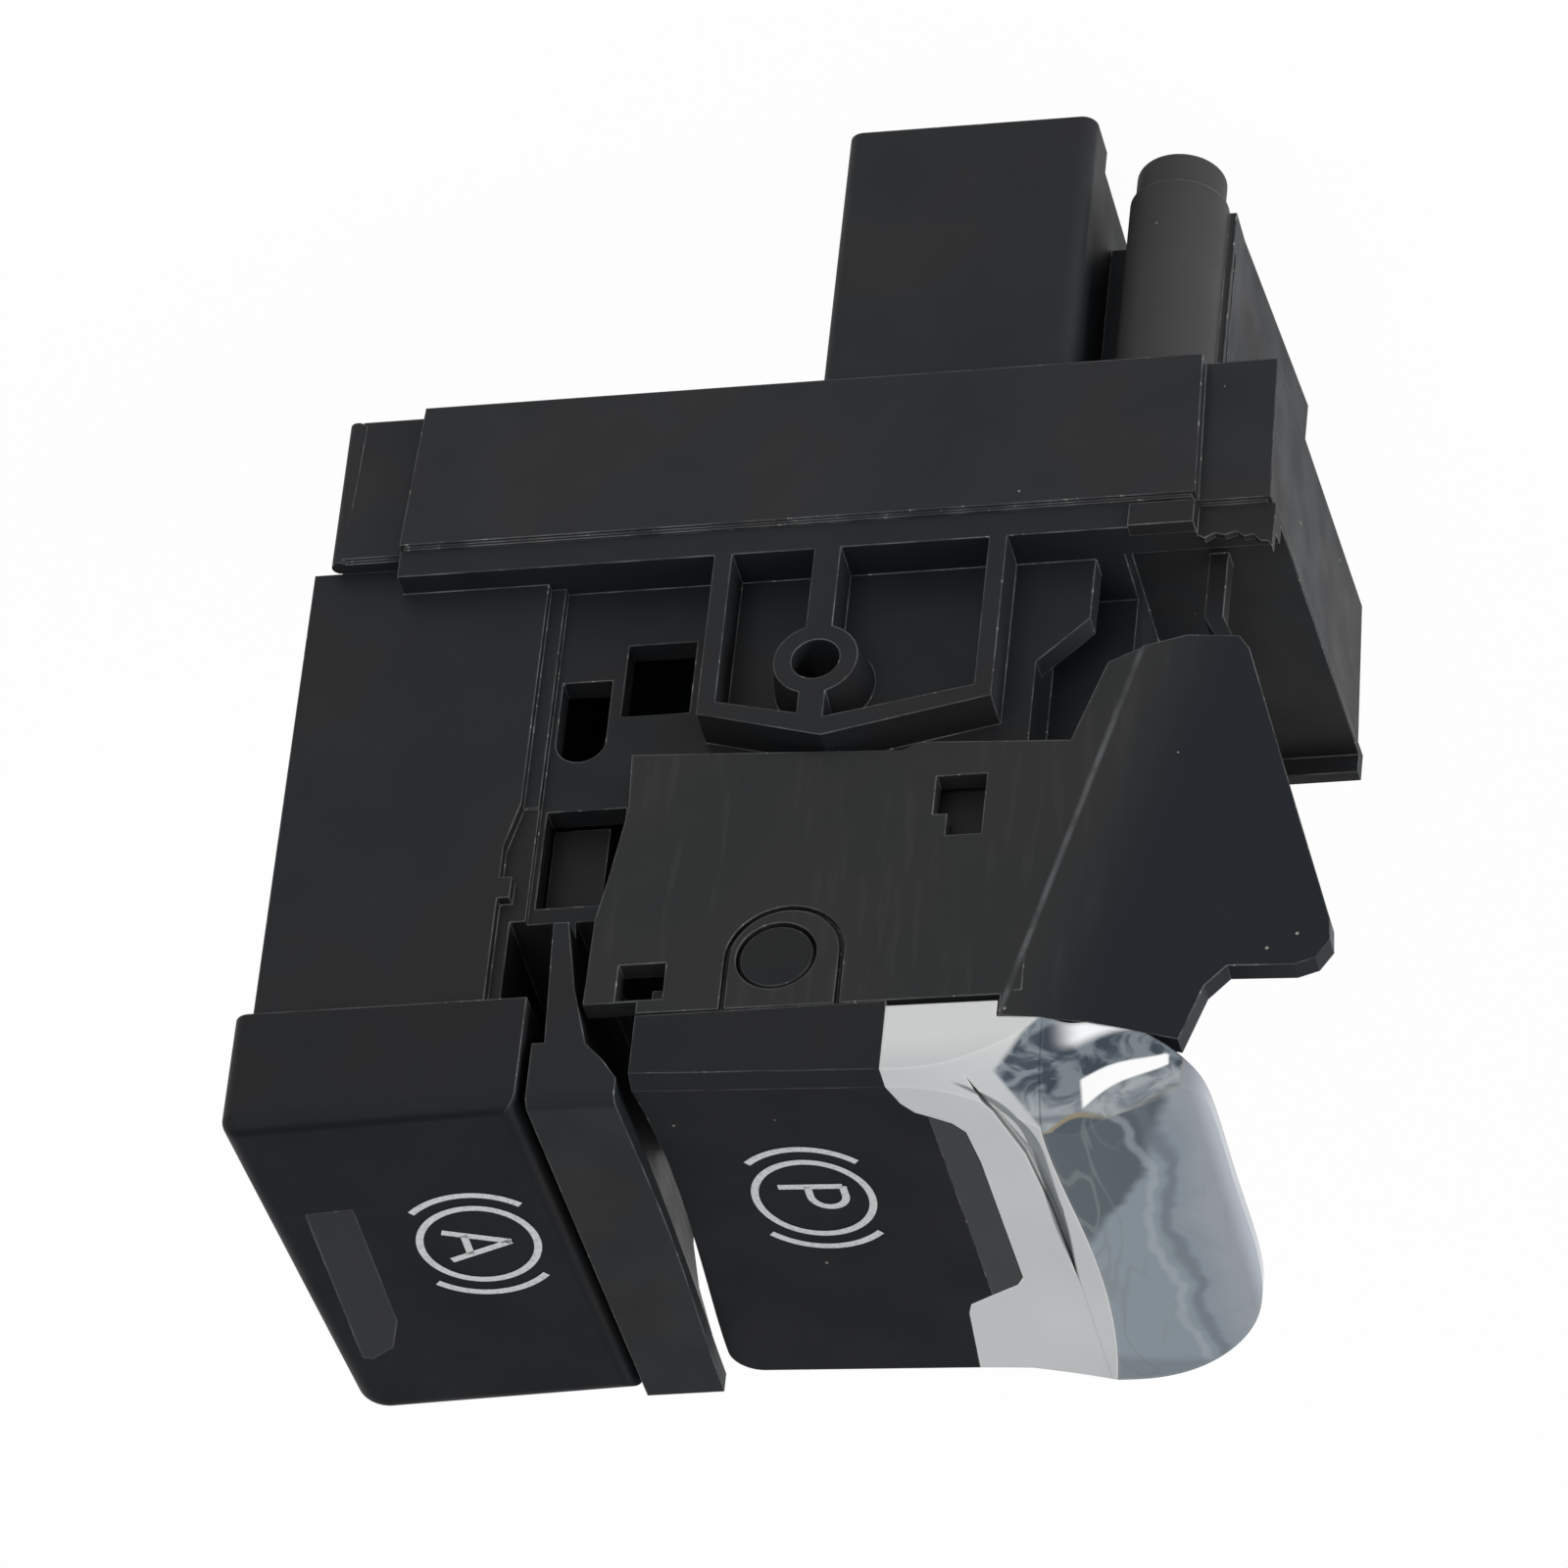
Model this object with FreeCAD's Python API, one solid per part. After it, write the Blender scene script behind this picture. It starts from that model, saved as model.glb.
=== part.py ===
"""Electric parking brake switch with a second, smaller auto-hold push button.

Millimetres. Origin: the fixing screw's bore, at the front face of its boss.
+Z runs up to the buttons, -Y out of the mounting face, -X towards the lever's grip.
"""
import math
import os

import FreeCAD
import Part

V = FreeCAD.Vector
UP = V(0, 0, 1)
INWARD = V(0, 1, 0)

# Mouldings
WALL = 1.6
SKIN = 1.3
RUN = 0.3
FIT = 0.02
PIVOT_RUN = 0.06

# Housing: planes from front to back, and heights
LIP_Y = 0.0
BLOCK_Y = 1.75
PANEL_Y = 2.9
BACK_Y = 26.6
LIP_BACK_Y = 26.6
COLLAR_BACK_Y = 30.4
SEAM_Z = -10.9
LIP_HEIGHT = 2.0
LIP_TOP_Z = SEAM_Z + LIP_HEIGHT
PANEL_TOP_Z = 17.4
BLOCK_TOP_Z = 24.0
LIP_LEFT_X = 27.9
BLOCK_LEFT_X = 33.9
BLOCK_RIGHT_X = 18.4
END_X = -18.5
LIP_STEP_X = -23.4
LIP_RIGHT_X = -28.3
POCKET_EDGE_X = -13.4
POCKET_DEPTH = 4.2
LIP_STEP_BACK = 1.0
END_FLARE = 0.8
SHOULDER_FLOOR = 0.6
REAR_RIM = 0.9
FLARE_FOOT_Z = 8.6
FLARE_TOP_Z = 11.9
FLARE_WIDTH = 0.8

# Fixing boss and its shield-shaped rib frame
SCREW_R = 1.55
BOSS_R = 2.7
BOSS_FOOT_R = 3.2
SHIELD_RIB = 1.15
SHIELD_MID_RIB = 1.7
SHIELD_LEFT_X = 7.3
SHIELD_RIGHT_X = -11.5
SHIELD_SIDE_Z = 3.8
SHIELD_TIP_Z = 6.1

# Windows in the recessed front wall
RECT_WINDOW = (8.6, 13.0, -4.4, 1.3)
SLOT_WINDOW = (13.8, 17.0, -1.7, 4.7)
TALL_WINDOW = (11.9, 17.0, 8.6, 16.2)
WINDOW_SCREEN_BACK = 0.5
WINDOW_SCREEN_GAP = 1.5

# Divider fin between the two buttons
FIN_NEAR_Y = 1.2
FIN_FAR_Y = 31.8
FIN_TOP_Z = 32.7
FIN_LEFT_X = 15.6
FIN_FAR_LEFT_X = 14.75
FIN_RIGHT_X = 10.0
FIN_HEAD = 4.7
FIN_NOSE_Z = FIN_TOP_Z - FIN_HEAD
FIN_EDGE_R = 0.8
FIN_ROOT_Z = 18.7
FIN_SIDE = [(FIN_RIGHT_X, FIN_NEAR_Y), (9.9, 4.0), (9.6, 12.0), (9.55, 18.0), (9.7, 25.0), (9.8, FIN_FAR_Y)]

# Base cover and what hangs from it
COVER_Y = -0.4
COVER_BACK_Y = 26.4
COVER_END_BACK = 1.0
COVER_HEIGHT = 11.8
COVER_BOTTOM_Z = SEAM_Z - COVER_HEIGHT
COVER_LEFT_X = 32.2
COVER_BAND_LEFT_X = 27.9
COVER_RIGHT_X = -28.0
COVER_DRAFT = 0.4
SEAM_REBATE = 0.25
SHROUD_LEFT_X = 2.3
SHROUD_WIDTH = 16.3
SHROUD_FRONT_Y = 2.0
SHROUD_DEPTH = 14.0
SHROUD_LENGTH = 22.4
SHROUD_WALL = 1.3
SHROUD_NOTCH_Y = 5.7
SHROUD_NOTCH = 1.7
PEG_X = -19.1
PEG_Y = 6.0
PEG_R = 2.9
PEG_BOSS_R = 3.2
PEG_LENGTH = 2.6
PEG_RIM = 0.4
PEG_BOSS_LENGTH = 17.2
PEG_GROOVE = 0.4
PEG_GROOVE_START = 3.0
CHAMBER_FRONT_Y = 9.2
CHAMBER_BACK_Y = 25.9
CHAMBER_LENGTH = 17.1
CHAMBER_SIDE_GAP = 0.45
CHAMBER_FLARE = 1.0

# Circuit board and connector
BOARD_THICK = 1.6
BOARD_TOP_Z = -11.6
BOARD_EDGE = 0.5
POST_R = 1.6
PIN_SIZE = 0.64
PIN_PITCH = 2.54
PIN_COLUMNS = 5
PIN_ROWS = 2
PIN_ABOVE_BOARD = 0.6
PIN_IN_SHROUD = 9.0

# Brake lever
PIVOT_X = 0.67
PIVOT_Z = 22.48
PIVOT_R = 2.5
PIVOT_EAR_R = 3.6
LEVER_Y = 1.0
LEVER_PLATE = 1.4
LEVER_FLANGE = 3.0
LEVER_FLANGE_Z = 23.5
LUG_R = 3.8
LUG_RELIEF = 0.5
WING_SET_BACK = 1.2
DECK_Z = 27.2
DECK_THICK = 1.5
DECK_BACK_Y = 29.5
ARM_PLATE = 1.4
LEG_THICK = 1.6
LEG_NEAR_Y = 14.5
LEG_WIDTH = 5.0
HUB_R = 4.2
LEG_LENGTH = 30.5
LEG_TIP_R = 1.2
COIL_WIRE_R = 0.4
COIL_TURNS = 3.5
COIL_PITCH = 1.1
COIL_LEG = 9.0
COIL_LEG_R = 0.36
COIL_GAP = 1.2
FINGER_WALL_X = -15.0
FINGER_WALL_Z = 20.0

# Faces that the driver touches, brake side
SKIRT_Z = 26.5
CAP_LEFT_X = 9.2
CAP_WAIST_X = 8.45
CAP_NEAR_Y = LEVER_Y
CAP_FAR_Y = 31.0
CAP_CORNER_R = 2.0
TRIM_NEAR_X = -6.6
TRIM_STEP_X = -13.6
GRIP_TIP_X = -26.4
LENS_THICK = 1.4
GRIP_SKIN = 1.6
CROWN_Z = 34.1
HEAD_SPARE = 3.0
LEAN_SPARE = 8.0
GROOVE_DEPTH = 0.45

# Sections of the head: x, height of the upper face, how far below it the front leans, how far in
HEAD_STATIONS = [
    (12.0, 31.55, 0.8, 0.8), (9.0, 31.71, 0.8, 0.8), (6.0, 31.87, 0.8, 0.8), (3.0, 32.02, 0.8, 0.8),
    (0.0, 32.17, 0.8, 0.8), (-3.0, 32.32, 0.8, 0.8), (-6.0, 32.47, 0.8, 0.8), (-8.0, 32.59, 0.82, 0.82),
    (-9.5, 32.7, 1.0, 1.0), (-13.0, 33.0, 2.3, 2.6), (-16.3, 33.45, 4.6, 5.0), (-19.9, 33.9, 4.7, 3.6),
    (-23.0, 33.85, 3.7, 2.2), (-25.2, 33.4, 2.2, 1.2), (-26.6, 32.8, 1.0, 0.8),
]

# Plan outlines that cap, lens, trim and grip share, from the mounting side to the far side
TRIM_NEAR_EDGE = [(-7.5, 3.5), (-8.2, 4.4), (-9.0, 4.8)]
TRIM_FAR_EDGE = [(-9.2, 23.3), (-7.6, 24.3), (-7.3, 25.2), (-6.8, 31.0)]
LENS_EDGE = [(-10.3, 5.5), (-11.0, 6.4), (-11.3, 9.5), (-11.5, 21.4), (-11.0, 22.2)]
GRIP_JOINT = [(-16.5, 1.0), (-15.8, 6.3), (-16.5, 17.7), (-16.0, 29.0), (-15.4, 32.0)]
GRIP_RIM = [(-18.5, 31.3), (-22.6, 29.3), (-25.2, 26.6), (-26.3, 22.5), (-26.4, 14.0), (-26.4, 6.0),
            (-25.9, 3.2), (-24.6, 1.7), (-21.5, 1.05)]
GROOVE_LINE = [(-11.7, 1.7), (-13.1, 4.2), (-14.3, 8.5), (-14.8, 14.0), (-15.0, 21.4)]
GROOVE_WIDTHS = [0.75, 0.75, 0.45]

# Auto-hold button
BUTTON_TRAVEL = 1.5
BUTTON_NEAR_Y = 0.9
BUTTON_FAR_Y = 31.4
BUTTON_LEFT_X = 35.0
BUTTON_RIGHT_X = 14.8
BUTTON_SKIRT_Z = 24.6
BUTTON_TOP_LEFT_Z = 33.4
BUTTON_TOP_RIGHT_Z = 32.7
BUTTON_FLARE = 1.3
BUTTON_NARROWING = 1.4
BUTTON_EDGE_R = 1.1
BUTTON_FAR_R = 2.0
BUTTON_NEAR_R = 1.0
LIP_RELIEF = 0.7
LIP_RELIEF_HEIGHT = 2.2
PLUNGER_X = 23.6
PLUNGER_Y = 15.0
PLUNGER_R = 2.2
GUIDE_WALL = 1.3
GUIDE_LENGTH = 10.0
SHELF_Z = 16.0
SPRING_R = 3.1
SPRING_WIRE_R = 0.35
SPRING_TURNS = 6
SPRING_TOP_Z = 28.0
DOME_R = 3.4
DOME_FOOT = 0.4
DOME_TOP_R = 2.5
DOME_HEIGHT = 4.0
DOME_SKIN = 0.6
DOME_GAP = 0.1

# Limits for cutting shapes, clear of every face that the driver touches
CUT_LOW_Z = BUTTON_SKIRT_Z - 5.0
CUT_HIGH_Z = BUTTON_TOP_LEFT_Z + 6.0
CUT_NEAR_Y = BUTTON_NEAR_Y - 6.0
CUT_FAR_Y = BUTTON_FAR_Y + 8.0

# Lamps on the board, in plan
LAMP_HALF = 1.1
LAMP_HALF_LONG = 1.75
LAMP_BODY = 0.9
LAMP_LENS = 0.5
LAMP_LENS_R = 0.9
AUTO_LAMP = (28.9, 17.0)
BRAKE_LAMP = (-11.4, 14.0)

# Light guides
BRAKE_GUIDE_LOW_Z = 10.0
BRAKE_GUIDE_TOP_Z = 30.6

# Contact slider under the lever's leg
SLIDER_LENGTH = 10.0
SLIDER_WIDTH = 7.6
SLIDER_HEIGHT = 5.4
SLIDER_SLOT_SIDE = 0.15
SLIDER_SLOT_DEPTH = 0.35
RAIL_THICK = 1.2
RAIL_LENGTH = 20.0
WIPER_THICK = 0.3
WIPER_WIDTH = 1.2
SLIDER_LIFT = 0.4


def box(x0, x1, y0, y1, z0, z1):
    """A block between two values on each axis, given in any order."""
    low = V(min(x0, x1), min(y0, y1), min(z0, z1))
    size = (abs(x1 - x0), abs(y1 - y0), abs(z1 - z0))
    return Part.makeBox(size[0], size[1], size[2], low)


def face_of(points):
    return Part.Face(Part.makePolygon(points + [points[0]]))


def prism_xz(points, y0, y1):
    """Outline in the XZ plane, given depth along Y."""
    return face_of([V(x, y0, z) for x, z in points]).extrude(V(0, y1 - y0, 0))


def prism_xy(points, z0, z1):
    """Outline in plan, given height along Z."""
    return face_of([V(x, y, z0) for x, y in points]).extrude(V(0, 0, z1 - z0))


def rod_y(radius, x, z, y0, y1):
    return Part.makeCylinder(radius, y1 - y0, V(x, y0, z), INWARD)


def rod_z(radius, x, y, z0, z1):
    return Part.makeCylinder(radius, z1 - z0, V(x, y, z0), UP)


def joined(first, *others):
    return first.fuse(list(others)).removeSplitter()


def edges_where(shape, test):
    return [edge for edge in shape.Edges if test(edge.BoundBox)]


def is_upright(bounds, length=1.0):
    return bounds.XLength < 0.8 and bounds.YLength < 0.8 and bounds.ZLength > length


# Housing


def lip_outline():
    return [
        (LIP_LEFT_X, LIP_Y),
        (LIP_LEFT_X, BLOCK_Y),
        (BLOCK_LEFT_X, BLOCK_Y),
        (BLOCK_LEFT_X, LIP_BACK_Y),
        (LIP_RIGHT_X - END_FLARE, LIP_BACK_Y),
        (LIP_RIGHT_X, LIP_STEP_BACK),
        (LIP_STEP_X, LIP_STEP_BACK),
        (LIP_STEP_X, LIP_Y),
    ]


def left_block():
    """The auto-hold button's tower: a drafted box with a wider collar at the back."""
    tower = box(BLOCK_RIGHT_X, BLOCK_LEFT_X, BLOCK_Y, BACK_Y, SEAM_Z, BLOCK_TOP_Z)
    collar_foot = PANEL_TOP_Z - (COLLAR_BACK_Y - BACK_Y)
    collar = face_of([
        V(BLOCK_RIGHT_X, BACK_Y - WALL, collar_foot),
        V(BLOCK_RIGHT_X, COLLAR_BACK_Y, PANEL_TOP_Z),
        V(BLOCK_RIGHT_X, COLLAR_BACK_Y, BLOCK_TOP_Z),
        V(BLOCK_RIGHT_X, BACK_Y - WALL, BLOCK_TOP_Z),
    ]).extrude(V(BLOCK_LEFT_X - BLOCK_RIGHT_X, 0, 0))
    step = box(BLOCK_RIGHT_X - 1.0, BLOCK_RIGHT_X, BLOCK_Y + 0.6, PANEL_Y + WALL, LIP_TOP_Z, PANEL_TOP_Z)
    inner = box(BLOCK_RIGHT_X + WALL, BLOCK_LEFT_X - WALL, BLOCK_Y + WALL, BACK_Y - WALL,
                SEAM_Z, BLOCK_TOP_Z)
    top_room = box(BLOCK_RIGHT_X + WALL, BLOCK_LEFT_X - WALL, BLOCK_Y + WALL,
                   COLLAR_BACK_Y - WALL, PANEL_TOP_Z + WALL, BLOCK_TOP_Z)
    flare = prism_xz([
        (BLOCK_RIGHT_X, FLARE_FOOT_Z),
        (BLOCK_RIGHT_X + FLARE_WIDTH, FLARE_TOP_Z),
        (BLOCK_RIGHT_X + FLARE_WIDTH, BLOCK_TOP_Z),
        (BLOCK_RIGHT_X - FLARE_WIDTH - 0.5, BLOCK_TOP_Z),
        (BLOCK_RIGHT_X - FLARE_WIDTH - 0.5, FLARE_FOOT_Z),
    ], BLOCK_Y, PANEL_Y - 0.4)
    shell = joined(tower, collar, step).cut(inner).cut(top_room).cut(flare)
    return joined(shell, button_shelf())


def button_shelf():
    """Cross wall in the tower, with the tube that guides the plunger."""
    shelf = box(BLOCK_RIGHT_X, BLOCK_LEFT_X, BLOCK_Y, BACK_Y, SHELF_Z - WALL, SHELF_Z)
    tube = rod_z(PLUNGER_R + RUN + GUIDE_WALL, PLUNGER_X, PLUNGER_Y, SHELF_Z - GUIDE_LENGTH, SHELF_Z)
    bore = rod_z(PLUNGER_R + RUN, PLUNGER_X, PLUNGER_Y, SHELF_Z - GUIDE_LENGTH, SHELF_Z)
    light_way = box(*light_guide_plan(RUN), SHELF_Z - WALL, SHELF_Z)
    return joined(shelf, tube).cut(bore).cut(light_way)


def pocket_front_wall():
    """Recessed front wall, with the corner cut away beside the pocket."""
    return prism_xz([
        (BLOCK_RIGHT_X, SEAM_Z),
        (-16.6, SEAM_Z),
        (-16.6, -4.2),
        (POCKET_EDGE_X, -1.0),
        (POCKET_EDGE_X, PANEL_TOP_Z),
        (BLOCK_RIGHT_X, PANEL_TOP_Z),
    ], PANEL_Y, PANEL_Y + WALL)


def right_shell():
    """Walls of the lever's side of the housing."""
    front = pocket_front_wall()
    pocket_y = PANEL_Y + POCKET_DEPTH
    jog = box(POCKET_EDGE_X, POCKET_EDGE_X + WALL, PANEL_Y, pocket_y + WALL, SEAM_Z, PANEL_TOP_Z)
    inner_front = box(END_X, POCKET_EDGE_X + WALL, pocket_y, pocket_y + WALL, SEAM_Z, PANEL_TOP_Z)
    end = box(END_X, END_X + WALL, pocket_y, BACK_Y, SEAM_Z, PANEL_TOP_Z)
    back = box(END_X, BLOCK_RIGHT_X + WALL, BACK_Y - WALL, BACK_Y, SEAM_Z, PANEL_TOP_Z)
    bridge = box(13.0, BLOCK_RIGHT_X + WALL, PANEL_Y, BACK_Y, PANEL_TOP_Z - WALL, PANEL_TOP_Z)
    near_ear = pivot_ear(PANEL_Y, PANEL_Y + WALL)
    far_ear = pivot_ear(BACK_Y - WALL, BACK_Y)
    return joined(front, jog, inner_front, end, back, bridge, near_ear, far_ear)


def pivot_ear(y0, y1):
    head = rod_y(PIVOT_EAR_R, PIVOT_X, PIVOT_Z, y0, y1)
    neck = box(PIVOT_X - PIVOT_EAR_R, PIVOT_X + PIVOT_EAR_R, y0, y1, PANEL_TOP_Z - WALL, PIVOT_Z)
    return head.fuse(neck)


def slot_cutter():
    x0, x1, z0, z1 = SLOT_WINDOW
    radius = (x1 - x0) / 2
    square = box(x0, x1, PANEL_Y, PANEL_Y + WALL, z0, z1 - radius)
    return square.fuse(rod_y(radius, (x0 + x1) / 2, z1 - radius, PANEL_Y, PANEL_Y + WALL))


def window_cutters():
    cuts = [box(x0, x1, PANEL_Y, PANEL_Y + WALL, z0, z1) for x0, x1, z0, z1 in (RECT_WINDOW, TALL_WINDOW)]
    return cuts + [slot_cutter()]


def window_screen():
    """The inner web seen through the tall window."""
    x0, x1, z0, z1 = TALL_WINDOW
    y0 = PANEL_Y + WALL + WINDOW_SCREEN_BACK
    return box(x0 + WINDOW_SCREEN_GAP, x1, y0, y0 + 1.0, z0 - 0.1, PANEL_TOP_Z)


def shield_frame():
    """Ribs that stand from the recessed wall to the lip's plane, round the fixing boss."""
    half = SHIELD_MID_RIB / 2
    left = box(SHIELD_LEFT_X - SHIELD_RIB, SHIELD_LEFT_X, LIP_Y, PANEL_Y, LIP_TOP_Z, SHIELD_SIDE_Z)
    right = box(SHIELD_RIGHT_X, SHIELD_RIGHT_X + SHIELD_RIB, LIP_Y, PANEL_Y, LIP_TOP_Z, SHIELD_SIDE_Z)
    middle = box(-half, half, LIP_Y, PANEL_Y, LIP_TOP_Z, SHIELD_TIP_Z - SHIELD_RIB)
    sill = prism_xz([
        (SHIELD_LEFT_X, SHIELD_SIDE_Z - SHIELD_RIB),
        (-half, SHIELD_TIP_Z - SHIELD_RIB - 0.3),
        (SHIELD_RIGHT_X, SHIELD_SIDE_Z - SHIELD_RIB),
        (SHIELD_RIGHT_X, SHIELD_SIDE_Z),
        (-half, SHIELD_TIP_Z),
        (SHIELD_LEFT_X, SHIELD_SIDE_Z),
    ], LIP_Y, PANEL_Y)
    boss = Part.makeCone(BOSS_R, BOSS_FOOT_R, PANEL_Y - LIP_Y, V(0, LIP_Y, 0), INWARD)
    return joined(left, right, middle, sill, boss)


def fin_web():
    """Thin wall under the fin's head, thicker towards its back."""
    low = PANEL_TOP_Z - WALL
    top = FIN_NOSE_Z + 0.2
    near = [(15.3, low), (14.8, top), (12.2, top), (13.3, FIN_NOSE_Z - 4.0), (14.2, FIN_ROOT_Z), (14.5, low)]
    far = [(15.3, low), (14.6, top), (11.0, top), (12.2, FIN_NOSE_Z - 3.5), (12.9, FIN_ROOT_Z + 2.3),
           (13.3, low)]
    wires = []
    for outline, y in ((near, FIN_NEAR_Y), (far, FIN_FAR_Y)):
        points = [V(x, y, z) for x, z in outline]
        wires.append(Part.makePolygon(points + [points[0]]))
    web = Part.makeLoft(wires, True, True)
    return web.cut(box(FIN_LEFT_X, FIN_RIGHT_X, FIN_NEAR_Y, PANEL_Y, low, FIN_ROOT_Z))


def divider_fin():
    """Fin between the buttons: a thin web, and a head whose side bows towards the brake button."""
    side = Part.BSplineCurve()
    side.interpolate([V(x, y, FIN_NOSE_Z) for x, y in FIN_SIDE])
    straight = [V(*FIN_SIDE[-1], FIN_NOSE_Z), V(FIN_FAR_LEFT_X, FIN_FAR_Y, FIN_NOSE_Z),
                V(FIN_LEFT_X, FIN_NEAR_Y, FIN_NOSE_Z), V(*FIN_SIDE[0], FIN_NOSE_Z)]
    plan = Part.Face(Part.Wire([side.toShape(), *Part.makePolygon(straight).Edges]))
    rise = FIN_TOP_Z - FIN_NOSE_Z
    head = plan.extrude(V(0, 0, rise)).common(prism_xz([
        (FIN_LEFT_X + 1, FIN_NOSE_Z),
        (FIN_LEFT_X + 1, FIN_TOP_Z),
        (FIN_RIGHT_X - 1, FIN_TOP_Z),
        (FIN_RIGHT_X - 1, FIN_NOSE_Z + 0.96 * rise),
        (FIN_RIGHT_X + 1.0, FIN_NOSE_Z + 0.33 * rise),
        (FIN_RIGHT_X + 2.4, FIN_NOSE_Z),
    ], FIN_NEAR_Y, FIN_FAR_Y))
    front = edges_where(head, lambda b: b.YMax < FIN_NEAR_Y + 0.01 and b.ZMin > FIN_TOP_Z - 0.1)
    return head.makeFillet(FIN_EDGE_R, front).fuse(fin_web())


def end_gusset():
    """Small upright web on the shoulder, right of the pocket."""
    return prism_xz([
        (LIP_STEP_X, SEAM_Z + 0.4),
        (LIP_STEP_X, -5.2),
        (-26.2, 0.2),
        (-27.0, 0.2),
        (LIP_STEP_X - 1.2, -5.2),
        (LIP_STEP_X - 1.2, SEAM_Z + 0.4),
    ], 4.8, 6.2)


def lip_flash():
    """Torn edge of moulding flash along the lip's right end, as in the photograph."""
    torn = [
        (LIP_STEP_X, LIP_TOP_Z - 0.3),
        (LIP_STEP_X, LIP_TOP_Z + 0.15),
        (-23.9, LIP_TOP_Z + 0.45),
        (-24.5, LIP_TOP_Z + 0.1),
        (-25.2, LIP_TOP_Z + 0.3),
        (-25.9, LIP_TOP_Z + 0.05),
        (-26.4, LIP_TOP_Z + 0.5),
        (-27.0, LIP_TOP_Z + 0.4),
        (-27.5, LIP_TOP_Z + 0.95),
        (-28.0, LIP_TOP_Z + 1.0),
        (LIP_RIGHT_X, LIP_TOP_Z + 1.6),
        (LIP_RIGHT_X, LIP_TOP_Z - 0.3),
    ]
    return prism_xz(torn, LIP_STEP_BACK, LIP_STEP_BACK + 0.5)


def housing():
    lip = prism_xy(lip_outline(), SEAM_Z, LIP_TOP_Z)
    tab = box(LIP_STEP_X, LIP_STEP_X + 4.2, LIP_Y - 0.25, LIP_Y + 0.8, SEAM_Z + 0.3, LIP_TOP_Z + 0.05)
    shoulder = box(LIP_RIGHT_X - END_FLARE, END_X, LIP_STEP_BACK + WALL, LIP_BACK_Y - REAR_RIM,
                   SEAM_Z + SHOULDER_FLOOR, LIP_TOP_Z)
    room_right = box(END_X + WALL, BLOCK_RIGHT_X, PANEL_Y + POCKET_DEPTH + WALL, BACK_Y - WALL,
                     SEAM_Z, LIP_TOP_Z)
    room_front = box(POCKET_EDGE_X + WALL, BLOCK_RIGHT_X, PANEL_Y + WALL, BACK_Y - WALL,
                     SEAM_Z, LIP_TOP_Z)
    room_left = box(BLOCK_RIGHT_X + WALL, BLOCK_LEFT_X - WALL, BLOCK_Y + WALL, BACK_Y - WALL,
                    SEAM_Z, LIP_TOP_Z)
    frame = lip.cut(room_right).cut(room_front).cut(room_left).cut(shoulder)
    body = joined(frame, tab, right_shell(), left_block(), shield_frame(),
                  divider_fin(), end_gusset(), lip_flash())
    body = body.cut(window_cutters())
    body = joined(body, window_screen())
    body = body.cut(rod_y(SCREW_R, 0, 0, LIP_Y - 1, PANEL_Y + WALL + 1))
    return body.cut(rod_y(PIVOT_R + FIT, PIVOT_X, PIVOT_Z, LIP_Y, BACK_Y + 1))


# Base cover


def cover_outline(inset):
    """Plan of the cover's band: its ends are set back behind the middle."""
    left = COVER_LEFT_X - inset
    right = COVER_RIGHT_X + inset
    near = COVER_Y + inset
    near_end = near + COVER_END_BACK
    far = COVER_BACK_Y - inset
    return [
        (COVER_BAND_LEFT_X - inset, near),
        (COVER_BAND_LEFT_X - inset, near_end),
        (left, near_end),
        (left, far),
        (right - END_FLARE, far),
        (right, near_end),
        (LIP_STEP_X + inset, near_end),
        (LIP_STEP_X + inset, near),
    ]


def loft_plan(low, low_z, high, high_z):
    wires = []
    for outline, z in ((low, low_z), (high, high_z)):
        points = [V(x, y, z) for x, y in outline]
        wires.append(Part.makePolygon(points + [points[0]]))
    return Part.makeLoft(wires, True, True)


def cover_box():
    seam_low = SEAM_Z - SEAM_REBATE
    outer = loft_plan(cover_outline(COVER_DRAFT), COVER_BOTTOM_Z, cover_outline(0), seam_low)
    outer = outer.fuse(prism_xy(cover_outline(SEAM_REBATE), seam_low, SEAM_Z))
    inner = loft_plan(cover_outline(WALL + COVER_DRAFT), COVER_BOTTOM_Z + WALL,
                      cover_outline(WALL), SEAM_Z)
    return outer.cut(inner)


def corner_ridge():
    """Rounded upright ridge on the cover's left corner."""
    radius = 0.55
    y = COVER_Y + COVER_END_BACK + radius
    return rod_z(radius, COVER_LEFT_X - 0.1, y, COVER_BOTTOM_Z + 0.3, SEAM_Z)


def shroud():
    """Open connector socket under the cover."""
    x1 = SHROUD_LEFT_X
    x0 = x1 - SHROUD_WIDTH
    y0 = SHROUD_FRONT_Y
    y1 = y0 + SHROUD_DEPTH
    z0 = COVER_BOTTOM_Z - SHROUD_LENGTH
    block = box(x0, x1, y0, y1, z0, COVER_BOTTOM_Z + WALL)
    upright = edges_where(block, lambda b: is_upright(b, SHROUD_LENGTH / 2))
    block = block.makeFillet(1.0, upright)
    notch = box(x0 - 1, x1 + 1, SHROUD_NOTCH_Y, y1 + 1, z0 - 1, z0 + SHROUD_NOTCH)
    return block.cut(notch)


def shroud_cavity():
    x1 = SHROUD_LEFT_X - SHROUD_WALL
    x0 = SHROUD_LEFT_X - SHROUD_WIDTH + SHROUD_WALL
    y0 = SHROUD_FRONT_Y + SHROUD_WALL
    y1 = SHROUD_FRONT_Y + SHROUD_DEPTH - SHROUD_WALL
    z0 = COVER_BOTTOM_Z - SHROUD_LENGTH
    return box(x0, x1, y0, y1, z0 - 1, COVER_BOTTOM_Z)


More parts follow.
